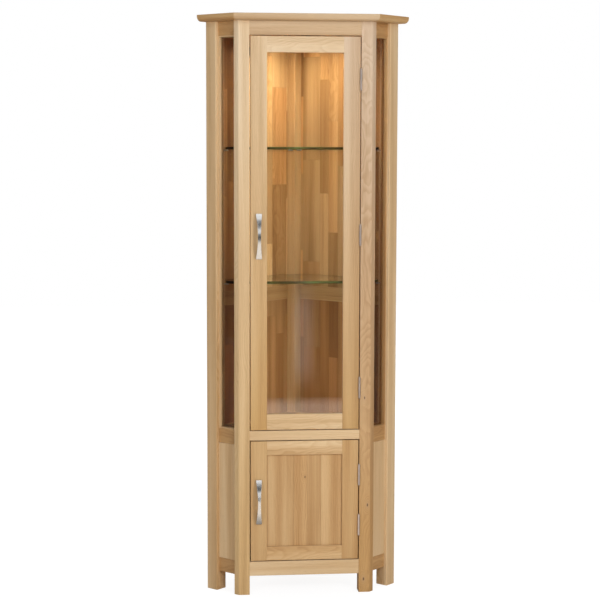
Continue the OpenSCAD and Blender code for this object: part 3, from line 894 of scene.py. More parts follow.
# The side pane's brown tint is painted shade: it darkens the shaded inside of the cupboard as seen through
# the slanted sides.
SHADE_TINTED_SIDE_PANE = GlassFinish("side pane", (0.58, 0.5, 0.46), lamplight=(0.15, 0.12, 0.1))
SHELF = GlassFinish("shelf plate", (0.92, 0.96, 0.935), lamplight=(0.53, 0.52, 0.49))
SHELF_EDGE = GlassEdgeFinish("shelf edge", deep=(0.05, 0.037, 0.01), bright=(0.1, 0.13, 0.04))
CATCH_PLASTIC = PlasticFinish("catch plastic", (0.035, 0.033, 0.03), roughness=0.5)
GROMMET_RUBBER = PlasticFinish("grommet rubber", (0.03, 0.03, 0.03), roughness=0.7)


# ---------------------------------------------------------------- shaping


def copy_of(node: str) -> Shape:
    """Copies a node's mesh and joins its loose triangles into whole faces.

    Args:
        node: The node's name.

    Returns:
        The copy.
    """
    shape = bmesh.new()
    shape.from_mesh(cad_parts[node].data)
    bmesh.ops.remove_doubles(shape, verts=shape.verts, dist=HAIR / 2)
    bmesh.ops.dissolve_limit(shape, angle_limit=math.radians(0.4), verts=shape.verts, edges=shape.edges)
    return shape


def half_of(node: str, keep: int) -> Shape:
    """Copies the solids of a node that lie on one side.

    Args:
        node: The node's name.
        keep: 1 for the right and -1 for the left.

    Returns:
        The copy.
    """
    shape = copy_of(node)
    away = [v for v in shape.verts if v.co.x * keep < 0]
    bmesh.ops.delete(shape, geom=away, context="VERTS")
    return shape


def ease(shape: Shape, width: float, steps: int = 2, sharper_than: float = 30.0) -> None:
    """Eases a shape's sharp outer edges, and marks the eased faces for the finish.

    Args:
        shape: The shape.
        width: How far each edge is cut back.
        steps: How many faces an eased edge gets.
        sharper_than: The least angle, in degrees, of an edge that is eased.
    """
    least = math.radians(sharper_than)
    edges = [e for e in shape.edges if len(e.link_faces) == 2 and e.calc_face_angle_signed(0.0) > least]
    mark = shape.faces.layers.float.get(ARRIS) or shape.faces.layers.float.new(ARRIS)
    made = bmesh.ops.bevel(
        shape, geom=edges, offset=width, offset_type="OFFSET", segments=steps,
        profile=0.5, affect="EDGES", clamp_overlap=True, material=-1,
    )
    for face in made["faces"]:
        face[mark] = 1.0


def round_over(shape: Shape, above: float, width: float) -> None:
    """Rounds the edges of a shape that lie above a height.

    Args:
        shape: The shape.
        above: The height.
        width: How far each edge is cut back.
    """
    rim = [e for e in shape.edges if all(v.co.z > above for v in e.verts)]
    bmesh.ops.bevel(shape, geom=rim, offset=width, segments=4, profile=0.5, affect="EDGES", material=-1)


def new_box(low: Iterable[float], high: Iterable[float]) -> Shape:
    """Makes a box.

    Args:
        low: The lower corner.
        high: The upper corner.

    Returns:
        The box.
    """
    low, high = Vector(low), Vector(high)
    shape = bmesh.new()
    bmesh.ops.create_cube(shape, size=1.0)
    bmesh.ops.scale(shape, vec=high - low, verts=shape.verts)
    bmesh.ops.translate(shape, vec=(low + high) / 2, verts=shape.verts)
    return shape


def new_cone(low_r: float, high_r: float, low: float, high: float, segments: int) -> Shape:
    """Makes a rod or a cone that stands along z.

    Args:
        low_r: The radius at its foot.
        high_r: The radius at its head.
        low: The height of its foot.
        high: The height of its head.
        segments: How many sides it has.

    Returns:
        The rod or cone.
    """
    shape = bmesh.new()
    bmesh.ops.create_cone(
        shape, cap_ends=True, segments=segments, radius1=low_r, radius2=high_r, depth=high - low,
    )
    bmesh.ops.translate(shape, vec=(0.0, 0.0, (low + high) / 2), verts=shape.verts)
    return shape


def slice_off(shape: Shape, point: Point, outwards: Point) -> None:
    """Cuts a shape along a plane, drops what is outside and closes the cut.

    Args:
        shape: The shape.
        point: A point on the plane.
        outwards: The way to the part that goes.
    """
    made = bmesh.ops.bisect_plane(
        shape, geom=[*shape.verts, *shape.edges, *shape.faces],
        plane_co=point, plane_no=outwards, clear_outer=True,
    )
    rim = [part for part in made["geom_cut"] if isinstance(part, bmesh.types.BMEdge)]
    bmesh.ops.holes_fill(shape, edges=rim)


def gather(into: Shape, shape: Shape, place: Matrix | None = None) -> None:
    """Adds one shape to another, and frees the first.

    Args:
        into: The shape that grows.
        shape: The shape that is added.
        place: Where it goes.
    """
    if place is not None:
        bmesh.ops.transform(shape, matrix=place, verts=shape.verts)
        if place.determinant() < 0:
            bmesh.ops.reverse_faces(shape, faces=shape.faces)
    mesh = bpy.data.meshes.new("part")
    shape.to_mesh(mesh)
    shape.free()
    into.from_mesh(mesh)
    bpy.data.meshes.remove(mesh)


def set_shading(shape: Shape, smooth_under: float) -> None:
    """Shades curves as one surface, and keeps the faces beside an eased edge flat.

    Args:
        shape: The shape.
        smooth_under: The angle, in degrees, under which faces are shaded as one surface.
    """
    most = math.radians(smooth_under)
    mark = shape.faces.layers.float.get(ARRIS)
    for face in shape.faces:
        face.smooth = True
    for edge in shape.edges:
        even = len(edge.link_faces) == 2 and edge.calc_face_angle(math.pi) < most
        if even and mark:
            first, second = edge.link_faces
            even = (first[mark] > SOME) == (second[mark] > SOME)
        edge.smooth = even


def new_object(name: str, shape: Shape, finishes: Sequence[Finish]) -> bpy.types.Object:
    """Turns a shape into an object of the scene.

    Args:
        name: The object's name.
        shape: Its shape, which is freed.
        finishes: Its finishes, in the order of the faces' material numbers.

    Returns:
        The object.
    """
    mesh = bpy.data.meshes.new(name)
    shape.to_mesh(mesh)
    shape.free()
    if "custom_normal" in mesh.attributes:
        mesh.attributes.remove(mesh.attributes["custom_normal"])
    for finish in finishes:
        mesh.materials.append(material_of(finish))
    made = bpy.data.objects.new(name, mesh)
    bpy.context.scene.collection.objects.link(made)
    return made


def finish_piece(
    name: str, node: str, shape: Shape, finishes: Sequence[Finish],
    body: Body = Body.CARCASE, smooth_under: float = 33.0,
) -> None:
    """Turns a shape into a finished piece that rides on its body.

    Args:
        name: The piece's name.
        node: The node it replaces.
        shape: Its shape, which is freed.
        finishes: Its finishes, in the order of the faces' material numbers.
        body: The body it rides on.
        smooth_under: The angle, in degrees, under which faces are shaded as one surface.
    """
    set_shading(shape, smooth_under)
    piece = new_object(name, shape, finishes)
    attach(piece, body.value)
    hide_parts(node)
    LOG.info("%s: %d faces, for %s", name, len(piece.data.polygons), node)


def dress_solid(
    node: str, name: str, finish: Finish, slot: Slot, body: Body = Body.CARCASE,
    easing: float = 0.5 * MM, steps: int = 2, sharper_than: float = 30.0, smooth_under: float = 33.0,
) -> None:
    """Eases a copy of a solid and finishes it as a piece.

    Args:
        node: The solid's node.
        name: The piece's name.
        finish: Its finish.
        slot: Not used.
        body: The body it rides on.
        easing: How far its edges are cut back.
        steps: How many faces an eased edge gets.
        sharper_than: The least angle, in degrees, of an edge that is eased.
        smooth_under: The angle, in degrees, under which faces are shaded as one surface.
    """
    shape = copy_of(node)
    ease(shape, easing, steps, sharper_than)
    finish_piece(name, node, shape, [finish], body, smooth_under)


def middle_of(node: str) -> Point:
    """Gives the middle of a node's box."""
    low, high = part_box(node)
    return tuple((Vector(low) + Vector(high)) / 2)


def build_board(
    node: str, oak: Oak, slot: Slot, body: Body = Body.CARCASE, easing: float = 0.5 * MM,
) -> None:
    """Shapes and dresses one board or glued panel.

    Args:
        node: The board's node.
        oak: How it is cut.
        slot: Handed on to dress_solid, which does not use it.
        body: The body it rides on.
        easing: How far its edges are cut back.
    """
    finish = OakFinish(f"oak {node}".replace("_", " "), oak, middle_of(node))
    dress_solid(node, f"{node}_board", finish, slot, body, easing)


def build_wall_boards(node: str, title: str, seed: int, easing: float) -> None:
    """Builds the level boards that lie on both walls, as one piece for each wall.

    Args:
        node: The node that holds them all.
        title: What their finish is called.
        seed: The seed that the two walls' draws lie on either side of.
        easing: How far their edges are cut back.
    """
    for (side, heading), keep in zip(WALLS, (-1, 1)):
        shape = half_of(node, keep)
        ease(shape, easing)
        oak = Oak(INNER, Grain.ACROSS, heading, seed + keep)
        finish = OakFinish(f"oak {title} {side}", oak, middle_of(node))
        finish_piece(f"{node}_{side}", node, shape, [finish])


# ---------------------------------------------------------------- the carcase


@dataclass(frozen=True)
class Plan:
    """The sizes on which the cupboard's plan is drawn."""

    half_front: float = 206 * MM
    side_len: float = 134 * MM
    overhang: float = 40 * MM
    slant_w: float = 20 * MM
    post_w: float = 42 * MM

    @property
    def front_y(self) -> float:
        """How far back the front posts' face lies."""
        depth = self.overhang + self.half_front + self.side_len * math.sqrt(2)
        return self.overhang - depth / 2

    @property
    def wall_len(self) -> float:
        """The length of each wall face."""
        return self.side_len + self.half_front * math.sqrt(2)

    def on_front(self, x: float = 0.0, y: float = 0.0, z: float = 0.0) -> Matrix:
        """Gives a place from the middle of the front posts' face, with y inwards."""
        return Matrix.Translation((0.0, self.front_y, 0.0)) @ Matrix.Translation((x, y, z))

    def on_side(self, left: bool) -> Matrix:
        """Gives the place of a side's front corner, with x along the side and y inwards."""
        right = self.on_front(self.half_front) @ turned(45, "Z")
        return MIRROR @ right if left else right


PLAN = Plan()


@dataclass
class Cornice:
    """The flat top with its three mitred boards."""

    first_seed: int = 11
    top_seed: int = 15
    board_easing: float = 1.0 * MM
    top_easing: float = 0.4 * MM

    def build(self) -> None:
        """Builds the cornice boards and the board they frame."""
        boards = (("front", TAN, Heading.FRONT), *((side, TAWNY, heading) for side, heading in SIDES))
        for seed, (name, batch, heading) in enumerate(boards, self.first_seed):
            slot = Slot.PALE_OAK if name == "front" else Slot.OUTER_OAK
            oak = Oak(batch, Grain.ACROSS, heading, seed)
            build_board(f"cornice_{name}", oak, slot, easing=self.board_easing)
        oak = Oak(INNER, Grain.LEVEL, Heading.FRONT, self.top_seed, flat_sawn=None, staves=Staves())
        build_board("top_board", oak, Slot.INNER_OAK, easing=self.top_easing)


@dataclass
class PostsAndRails:
    """The five posts, and the rails and panels between them at the front and the sides."""

    knots: tuple[Knot, ...] = (
        Knot(-8 * MM, -271 * MM, 2.6 * MM),
        Knot(-8 * MM, -848 * MM, 3 * MM),
        Knot(3 * MM, -611 * MM, 3 * MM),
    )
    # Painted shade at the front posts' feet, where the light from above falls off.
    left_foot_shade: Colour = (0.87, 0.78, 0.59)
    right_foot_shade: Colour = (0.8, 0.62, 0.35)
    right_figure: float = 0.32
    panel_figure: float = 0.16

    def posts(self) -> None:
        """Builds the posts."""
        marks = {"knots": self.knots, "painted_foot_shade": self.right_foot_shade, "figure": self.right_figure}
        up, front, falling, rising = Grain.UPRIGHT, Heading.FRONT, Heading.FALLING, Heading.RISING
        for node, oak in (
            ("front_post_left", Oak(FAIR, up, front, 21, painted_foot_shade=self.left_foot_shade)),
            ("front_post_right", Oak(ROSY, up, front, 27, flat_sawn=True, **marks)),
            ("side_post_left", Oak(HONEY, up, falling, 23)),
            ("side_post_right", Oak(PALE, up, rising, 24)),
            ("rear_post", Oak(INNER, up, rising, 25)),
        ):
            build_board(node, oak, Slot.OUTER_OAK)

    def rails(self) -> None:
        """Builds the front rails and then the side rails."""
        for name, batch, seed in (("top", TAN, 31), ("middle", PALE, 32), ("bottom", PALE, 33)):
            build_board(f"front_{name}_rail", Oak(batch, Grain.ACROSS, Heading.FRONT, seed), Slot.PALE_OAK)
        for name, first_seed in (("top", 34), ("middle", 36), ("bottom", 38)):
            for seed, (side, heading) in enumerate(SIDES, first_seed):
                oak = Oak(BROWN, Grain.ACROSS, heading, seed, flat_sawn=True)
                build_board(f"side_{name}_rail_{side}", oak, Slot.OUTER_OAK)

    def panels(self) -> None:
        """Builds the lower side panels."""
        for (side, heading), batch, seed in zip(SIDES, (HONEY, PALE), (41, 42)):
            oak = Oak(batch, Grain.UPRIGHT, heading, seed, figure=self.panel_figure)
            build_board(f"side_panel_{side}", oak, Slot.OUTER_OAK)

    def build(self) -> None:
        """Builds every board."""
        self.posts()
        self.rails()
        self.panels()


@dataclass
class BeadFrame:
    """Four mitred beads round a pane, in the plane of the pane."""

    low: Point
    high: Point
    width: float
    easing: float = 0.35 * MM

    def beads(self) -> list[Shape]:
        """Builds the four beads, cut to their mitres.

        Returns:
            The upright beads and then the level ones.
        """
        (x0, y0, z0), (x1, y1, z1) = self.low, self.high
        made = []
        for outer, inner, way in ((x0, x0 + self.width, 1.0), (x1, x1 - self.width, -1.0)):
            bead = new_box((min(outer, inner), y0, z0), (max(outer, inner), y1, z1))
            slice_off(bead, (outer, 0.0, z0), (way, 0.0, -1.0))
            slice_off(bead, (outer, 0.0, z1), (way, 0.0, 1.0))
            made.append(bead)
        for outer, inner, way in ((z0, z0 + self.width, 1.0), (z1, z1 - self.width, -1.0)):
            bead = new_box((x0, y0, min(outer, inner)), (x1, y1, max(outer, inner)))
            slice_off(bead, (x0, 0.0, outer), (-1.0, 0.0, way))
            slice_off(bead, (x1, 0.0, outer), (1.0, 0.0, way))
            made.append(bead)
        for bead in made:
            ease(bead, self.easing)
        return made

    def build(
        self, name: str, title: str, node: str, pane: str, oak: Oak, place: Matrix, body: Body,
    ) -> None:
        """Builds the beads as two pieces, one with each grain.

        Args:
            name: The start of the pieces' names.
            title: What their finish is called.
            node: The node they stand for.
            pane: The node of the pane that they hold.
            oak: How the upright beads are cut.
            place: Where the frame goes.
            body: The body it rides on.
        """
        beads = self.beads()
        for grain, pair in ((Grain.UPRIGHT, beads[:2]), (Grain.ACROSS, beads[2:])):
            shape = bmesh.new()
            for bead in pair:
                gather(shape, bead, place)
            finish = OakFinish(f"oak {title} {grain.value}", replace(oak, grain=grain), middle_of(pane))
            finish_piece(f"{name}_{grain.value}", node, shape, [finish], body)


@dataclass
class SideGlazing:
    """The panes in the slanted sides, held between an outer and an inner frame of beads."""

    bottom: float = 519 * MM
    top: float = 1737 * MM
    outer_w: float = 4 * MM
    outer_face: float = 11 * MM
    pane_face: float = 21.5 * MM
    pane_t: float = 4 * MM
    inner_w: float = 6 * MM
    inner_face: float = 31 * MM
    first_seed: int = 51

    def frames(self) -> list[tuple[str, BeadFrame]]:
        """Lists the outer and the inner frame of one side.

        Returns:
            Each frame with its name.
        """
        x0, x1 = PLAN.slant_w, PLAN.side_len - PLAN.post_w
        layers = (
            ("outer", self.outer_face, self.pane_face, self.outer_w),
            ("inner", self.pane_face + self.pane_t, self.inner_face, self.inner_w),
        )
        return [
            (name, BeadFrame((x0, front, self.bottom), (x1, back, self.top), width))
            for name, front, back, width in layers
        ]

    def build(self) -> None:
        """Builds both sides' panes and beads."""
        for (side, heading), batch in zip(SIDES, (HONEY, BROWN)):
            pane, place = f"side_glass_{side}", PLAN.on_side(side == "left")
            dress_solid(pane, f"{pane}_pane", SHADE_TINTED_SIDE_PANE, Slot.PANE, steps=1)
            for seed, (name, beads) in enumerate(self.frames(), self.first_seed):
                oak = Oak(batch, Grain.UPRIGHT, heading, seed)
                title = f"{name} bead {side}"
                beads.build(f"{name}_beads_{side}", title, "side_beads", pane, oak, place, Body.CARCASE)


@dataclass
class Back:
    """The rails and glued panels on the two walls."""

    staves: Staves = Staves(width=48 * MM, length=330 * MM, contrast=0.34, blush=0.6)
    first_seed: int = 61
    rail_seed: int = 66
    rail_easing: float = 0.5 * MM

    def build(self) -> None:
        """Builds the panels, and the rails on each wall."""
        seed = self.first_seed
        for level, batch in (("upper", INNER), ("lower", DEEP)):
            for side, heading in WALLS:
                oak = Oak(batch, Grain.UPRIGHT, heading, seed, flat_sawn=None, staves=self.staves)
                build_board(f"back_panel_{level}_{side}", oak, Slot.INNER_OAK)
                seed += 1
        build_wall_boards("back_rails", "back rails", self.rail_seed, self.rail_easing)


@dataclass
class Floors:
    """The display floor, the cupboard floor and the battens under them."""

    staves: Staves = Staves(width=40 * MM, length=480 * MM)
    first_seed: int = 71
    batten_seed: int = 74
    batten_easing: float = 1.2 * MM

    def build(self) -> None:
        """Builds the floors and the battens."""
        for seed, node in enumerate(("display_floor", "cupboard_floor"), self.first_seed):
            oak = Oak(INNER, Grain.LEVEL, Heading.FRONT, seed, flat_sawn=None, staves=self.staves)
            build_board(node, oak, Slot.INNER_OAK)
        build_wall_boards("floor_battens", "battens", self.batten_seed, self.batten_easing)


# ---------------------------------------------------------------- shelves and light


@dataclass
class GlassShelves:
    """The two glass shelves and the steel pins they lie on."""

    undersides: Span = (974 * MM, 1390 * MM)
    easing: float = 0.35 * MM
    pin_r: float = 2.5 * MM
    pin_in: float = 8 * MM
    pin_out: float = 18 * MM
    pin_easing: float = 0.8 * MM
    front_pin: float = 24 * MM
    side_pin: float = 5 * MM
    rear_pin: float = 11 * MM

    def shelf(self, node: str) -> None:
        """Builds one shelf, with its edges in the edge's finish.

        Args:
            node: The shelf's node.
        """
        shape = copy_of(node)
        ease(shape, self.easing, steps=1)
        shape.normal_update()
        for face in shape.faces:
            face.material_index = int(abs(face.normal.z) < FACES_UP)
        finish_piece(f"{node}_plate", node, shape, [SHELF, SHELF_EDGE])

    def pin_places(self) -> list[Matrix]:
        """Lists where the pins stand, each with z out of its post.

        Returns:
            The places.
        """
        inner, post = PLAN.side_len - PLAN.post_w, PLAN.post_w
        places = []
        for shelf in self.undersides:
            z = shelf - self.pin_r
            front = Matrix.Translation((PLAN.half_front - self.front_pin, PLAN.front_y + post, z))
            beside = Matrix.Translation((inner, post - self.side_pin, z))
            behind = Matrix.Translation((inner + self.rear_pin, PLAN.wall_len - post, z))
            for left in (False, True):
                side = PLAN.on_side(left)
                front_here = MIRROR @ front if left else front
                places += [
                    front_here @ turned(-90, "X"),
                    side @ beside @ turned(-90, "Y"),
                    side @ behind @ turned(90, "X"),
                ]
        return places

    def build(self) -> None:
        """Builds the shelves and the pins."""
        for node in ("glass_shelf_lower", "glass_shelf_upper"):
            self.shelf(node)
        pins = bmesh.new()
        for place in self.pin_places():
            pin = new_cone(self.pin_r, self.pin_r, -self.pin_in, self.pin_out, segments=24)
            ease(pin, self.pin_easing, steps=3, sharper_than=40.0)
            gather(pins, pin, place)
        finish_piece("shelf_support_pins", "shelf_pins", pins, [STEEL])


def new_lamp(name: str, outline: str, size: float, power: float, colour: Colour) -> bpy.types.Object:
    """Makes an area lamp.

    Args:
        name: Its name.
        outline: The form of its face.
        size: How wide it is.
        power: Its power in watts.
        colour: Its colour.

    Returns:
        The lamp, at the origin and facing down.
    """
    light = bpy.data.lights.new(name, "AREA")
    light.shape = outline
    light.size = size
    light.energy = power
    light.color = colour
    lamp = bpy.data.objects.new(name, light)
    bpy.context.scene.collection.objects.link(lamp)
    return lamp


@dataclass
class CabinetLight:
    """The round light under the top, and the grommet for its cable."""

    back: float = 150 * MM
    underside: float = 1768 * MM
    lens_r: float = 28.9 * MM
    opening_r: float = 26.5 * MM
    lens_low: float = 1.5 * MM
    lens_high: float = 4.5 * MM
    dome: float = 1.2 * MM
    dome_form: tuple[Span, ...] = ((0.0, 1.0), (0.45, 0.82), (0.8, 0.4), (1.0, 0.0))
    warm: Colour = (1.0, 0.89, 0.65)
    power: float = 1.1
    beam: float = 150.0
    lamp_drop: float = 1 * MM

    @property
    def centre(self) -> Vector:
        """The middle of the light's underside."""
        return Vector((0.0, PLAN.front_y + self.back, self.underside))

    def lens(self) -> None:
        """Spins the lens, with its face domed through the ring's opening."""
        shape = bmesh.new()
        dome = [(self.opening_r * out, self.lens_low - self.dome * down) for out, down in self.dome_form]
        rim = [(self.lens_r, self.lens_low), (self.lens_r, self.lens_high), (0.0, self.lens_high)]
        points = [shape.verts.new((x, 0.0, z)) for x, z in (*dome, *rim)]
        edges = [shape.edges.new(pair) for pair in zip(points, points[1:])]
        bmesh.ops.spin(
            shape, geom=[*points, *edges], cent=(0.0, 0.0, 0.0), axis=(0.0, 0.0, 1.0),
            angle=math.tau, steps=64, use_merge=True,
        )
        bmesh.ops.remove_doubles(shape, verts=shape.verts, dist=HAIR)
        bmesh.ops.recalc_face_normals(shape, faces=shape.faces)
        bmesh.ops.translate(shape, vec=self.centre, verts=shape.verts)
        finish = LensFinish("frosted lens", self.warm, tuple(self.centre), self.lens_r)
        finish_piece("light_frosted_lens", "light_lens", shape, [finish])

    def lamp(self) -> None:
        """Hangs the lamp that gives the light's glow."""
        lamp = new_lamp("cabinet lamp", "DISK", 2 * self.opening_r, self.power, self.warm)
        lamp.data.spread = math.radians(self.beam)
        lamp.location = self.centre - Vector((0.0, 0.0, self.lamp_drop))

    def build(self) -> None:
        """Builds the ring, the lens, the grommet and the lamp."""
        dress_solid("light_housing", "light_ring", LAMP_STEEL, Slot.STEEL, easing=0.8 * MM, steps=3)
        self.lens()
        dress_solid("cable_grommet", "cable_grommet_ring", GROMMET_RUBBER, Slot.RUBBER, steps=3)
        self.lamp()


# ---------------------------------------------------------------- hardware


@dataclass
class CrossScrew:
    """A countersunk or round-headed screw with a cross recess, driven into a face at z = 0."""

    head_r: float
    head_h: float
    shank_r: float
    length: float
    countersunk: bool = True
    arm: float = 0.6
    slot_w: float = 0.22
    deep: float = 0.9 * MM
    narrowing: float = 0.75

    def top_faces(self, shape: Shape, top: float) -> list[bmesh.types.BMFace]:
        """Lists the faces of the head's top.

        Args:
            shape: The screw.
            top: The height of the head's top.

        Returns:
            The faces.
        """
        level = [face for face in shape.faces if face.normal.z > FACES_UP]
        return [face for face in level if face.calc_center_median().z > top - HAIR]

    def recess(self, shape: Shape, top: float) -> None:
        """Sinks a cross into the head's top.

        Args:
            shape: The screw.
            top: The height of the head's top.
        """
        arm, half = self.head_r * self.arm, self.head_r * self.slot_w / 2
        for axis in ((1.0, 0.0, 0.0), (0.0, 1.0, 0.0)):
            for cut in (-arm, -half, half, arm):
                faces = self.top_faces(shape, top)
                edges = {e for f in faces for e in f.edges}
                verts = {v for f in faces for v in f.verts}
                geom = [*verts, *edges, *faces]
                bmesh.ops.bisect_plane(shape, geom=geom, plane_co=Vector(axis) * cut, plane_no=axis)
        shape.normal_update()
        cross = []
        for face in self.top_faces(shape, top):
            spot = face.calc_center_median()
            near, far = sorted((abs(spot.x), abs(spot.y)))
            if near < half and far < arm:
                cross.append(face)
        sunk = bmesh.ops.extrude_face_region(shape, geom=cross)
        moved = [part for part in sunk["geom"] if isinstance(part, bmesh.types.BMVert)]
        bmesh.ops.delete(shape, geom=cross, context="FACES")
        bmesh.ops.translate(shape, vec=(0.0, 0.0, -self.deep), verts=moved)
        bmesh.ops.scale(shape, vec=(self.narrowing, self.narrowing, 1.0), verts=moved)

    def shape(self) -> Shape:
        """Builds the screw.

        Returns:
            The screw.
        """
        top = 0.0 if self.countersunk else self.head_h
        foot_r = self.shank_r if self.countersunk else self.head_r
        screw = new_cone(foot_r, self.head_r, top - self.head_h, top, segments=28)
        if not self.countersunk:
            round_over(screw, top - HAIR, self.head_h / 2)
        screw.normal_update()
        self.recess(screw, top)
        shank = new_cone(self.shank_r, self.shank_r, -self.length, top - self.head_h, segments=20)
        gather(screw, shank)
        return screw


WOOD_SCREW = CrossScrew(head_r=3.2 * MM, head_h=1.5 * MM, shank_r=1.65 * MM, length=14 * MM)
HANDLE_BOLT = CrossScrew(
    head_r=4 * MM, head_h=2.5 * MM, shank_r=2 * MM, length=26 * MM, countersunk=False, deep=1.2 * MM,
)


@dataclass
class ButtHinges:
    """The butt hinges: leaves, pins and screws."""

    axis: Span = (170.5 * MM, -3.7 * MM)
    height: float = 65 * MM
    leaf_gap: float = 0.1 * MM
    leaf_easing: float = 0.22 * MM
    smooth_under: float = 40.0
    pin_r: float = 1.75 * MM
    head_r: float = 2.6 * MM
    head_h: float = 1.2 * MM
    rounding: float = 0.75
    screw_spots: tuple[Span, ...] = ((-22 * MM, 17 * MM), (0.0, 9 * MM), (22 * MM, 17 * MM))
    twists: Span = (977.0, 413.0)
    upper: tuple[float, ...] = (652 * MM, 1128 * MM, 1604 * MM)
    lower: tuple[float, ...] = (217 * MM, 377 * MM)

    def place(self, height: float) -> Matrix:
        """Gives the place of the middle of one hinge's pin."""
        return PLAN.on_front(*self.axis, height)

    def pins(self) -> None:
        """Builds the pins, with a button head at each end."""
        shape = bmesh.new()
        half = self.height / 2
        for height in (*self.lower, *self.upper):
            gather(shape, new_cone(self.pin_r, self.pin_r, -half, half, segments=24), self.place(height))
            for end, turn in ((-half, turned(180, "X")), (half, Matrix.Identity(4))):
                head = new_cone(self.head_r, self.head_r, 0.0, self.head_h, segments=24)
                round_over(head, self.head_h / 2, self.head_h * self.rounding)
                gather(shape, head, self.place(height) @ Matrix.Translation((0.0, 0.0, end)) @ turn)
        finish_piece("hinge_pins_plated", "hinge_pins", shape, [HINGE_NICKEL])

    def screws(self, shape: Shape, heights: Iterable[float], side: int) -> None:
        """Adds a leaf's screws to a shape.

        Args:
            shape: The shape that grows.
            heights: The hinges' heights.
            side: 1 for the frame's leaves and -1 for the door's.
        """
        by_height, by_spot = self.twists
        for height in heights:
            for up, back in self.screw_spots:
                spot = Matrix.Translation((side * self.leaf_gap, back, up))
                twist = Matrix.Rotation(height * by_height + up * by_spot, 4, "Z")
                gather(shape, WOOD_SCREW.shape(), self.place(height) @ spot @ turned(-90 * side, "Y") @ twist)

    def build(self) -> None:
        """Builds every leaf and the pins."""
        forms = {"easing": self.leaf_easing, "sharper_than": 40.0, "smooth_under": self.smooth_under}
        for node, body in (
            ("hinge_frame_leaves", Body.CARCASE),
            ("upper_door_hinge_leaves", Body.UPPER_DOOR),
            ("lower_door_hinge_leaves", Body.LOWER_DOOR),
        ):
            dress_solid(node, f"{node}_plated", HINGE_NICKEL, Slot.NICKEL, body, **forms)
        self.pins()


@dataclass
class Catches:
    """The magnetic catches behind the doors, and their strike plates."""

    inner_x: float = -172 * MM
    front: float = 22.1 * MM
    heights: Span = (441 * MM, 1689 * MM)
    plate_t: float = 2 * MM
    plate_w: float = 12 * MM
    magnet: Point = (7 * MM, 0.4 * MM, 16 * MM)
    magnet_x: float = 3.5 * MM
    magnet_sunk: float = 0.02 * MM
    screw_z: float = 18 * MM

    def place(self, height: float) -> Matrix:
        """Gives the place of one catch on the left post."""
        return PLAN.on_front(self.inner_x, self.front, height)

    def screws(self, shape: Shape) -> None:
        """Adds the catches' screws to a shape.

        Args:
            shape: The shape that grows.
        """
        for height in self.heights:
            for up in (-self.screw_z, self.screw_z):
                spot = Matrix.Translation((self.plate_t, self.plate_w / 2, up))
                gather(shape, WOOD_SCREW.shape(), self.place(height) @ spot @ turned(90, "Y"))

    def magnets(self) -> None:
        """Builds the two magnets in each catch."""
        wide, deep, tall = self.magnet
        half_gap = tall / 10
        x = self.magnet_x
        shape = bmesh.new()
        for height in self.heights:
            for z0, z1 in ((-tall / 2, -half_gap), (half_gap, tall / 2)):
                magnet = new_box((x, -self.magnet_sunk, z0), (x + wide, deep, z1))
                gather(shape, magnet, self.place(height))
        finish_piece("catch_magnets", "magnetic_catches", shape, [STEEL])

    def build(self) -> None:
        """Builds the catches and their magnets, and dresses the strikes."""
        dress_solid(
            "magnetic_catches", "magnetic_catch_housings", CATCH_PLASTIC, Slot.PLASTIC,
            easing=0.6 * MM, steps=3,
        )
        self.magnets()
        for door in (Body.UPPER_DOOR, Body.LOWER_DOOR):
            node = f"{door.value}_strike"
            dress_solid(node, f"{node}_plate", STEEL, Slot.STEEL, door, easing=0.25 * MM)


# ---------------------------------------------------------------- the doors


@dataclass
class Door:
    """One door: stiles, rails, handle and screws."""

    body: Body
    bottom: float
    height: float
    handle_z: float
    hinges: tuple[float, ...]
    first_seed: int
    batches: tuple[OakBatch, ...]
    # Painted shade towards the feet of the two stiles, where the light from above falls off.
    painted_foot_shades: tuple[Colour, Colour] = (WHITE, WHITE)
    half_width: float = 169 * MM
    thickness: float = 20 * MM
    face: float = 1 * MM
    stile_w: float = 51 * MM
    rail_h: float = 49 * MM
    handle_half: float = 64 * MM

    def node(self, part: str) -> str:
        """Names one of the door's nodes."""
        return f"{self.body.value}_{part}"

    def boards(self) -> None:
        """Builds the stiles and rails."""
        up, across = (Grain.UPRIGHT, Slot.OUTER_OAK), (Grain.ACROSS, Slot.PALE_OAK)
        kinds = {"stile_left": up, "stile_right": up, "top_rail": across, "bottom_rail": across}
        ends = (*self.painted_foot_shades, WHITE, WHITE)
        seeds = range(self.first_seed, self.first_seed + len(kinds))
        for (part, (grain, slot)), batch, end, seed in zip(kinds.items(), self.batches, ends, seeds):
            flat = grain is Grain.ACROSS
            oak = Oak(batch, grain, Heading.FRONT, seed, flat_sawn=flat, painted_foot_shade=end)
            build_board(self.node(part), oak, slot, self.body)

    def filling(self) -> None:
        """Builds what the door's frame holds."""
        raise NotImplementedError

    def handle(self) -> None:
        """Builds the bow handle, with its cut edges softened."""
        node = self.node("handle")
        forms = {"easing": 0.7 * MM, "steps": 3, "sharper_than": 32.0, "smooth_under": 40.0}
        dress_solid(node, f"{node}_bow", NICKEL, Slot.NICKEL, self.body, **forms)

    def screws(self) -> None:
        """Builds the hinge screws and the handle's bolts."""
        shape = bmesh.new()
        ButtHinges().screws(shape, self.hinges, -1)
        x, back = -self.half_width + self.stile_w / 2, self.face + self.thickness
        for z in (self.handle_z - self.handle_half, self.handle_z + self.handle_half):
            gather(shape, HANDLE_BOLT.shape(), PLAN.on_front(x, back, z) @ turned(-90, "X"))
        node = self.node("screws")
        finish_piece(f"{node}_cross_headed", node, shape, [STEEL], self.body)

    def build(self) -> None:
        """Builds the whole door."""
        self.boards()
        self.filling()
        self.handle()
        self.screws()


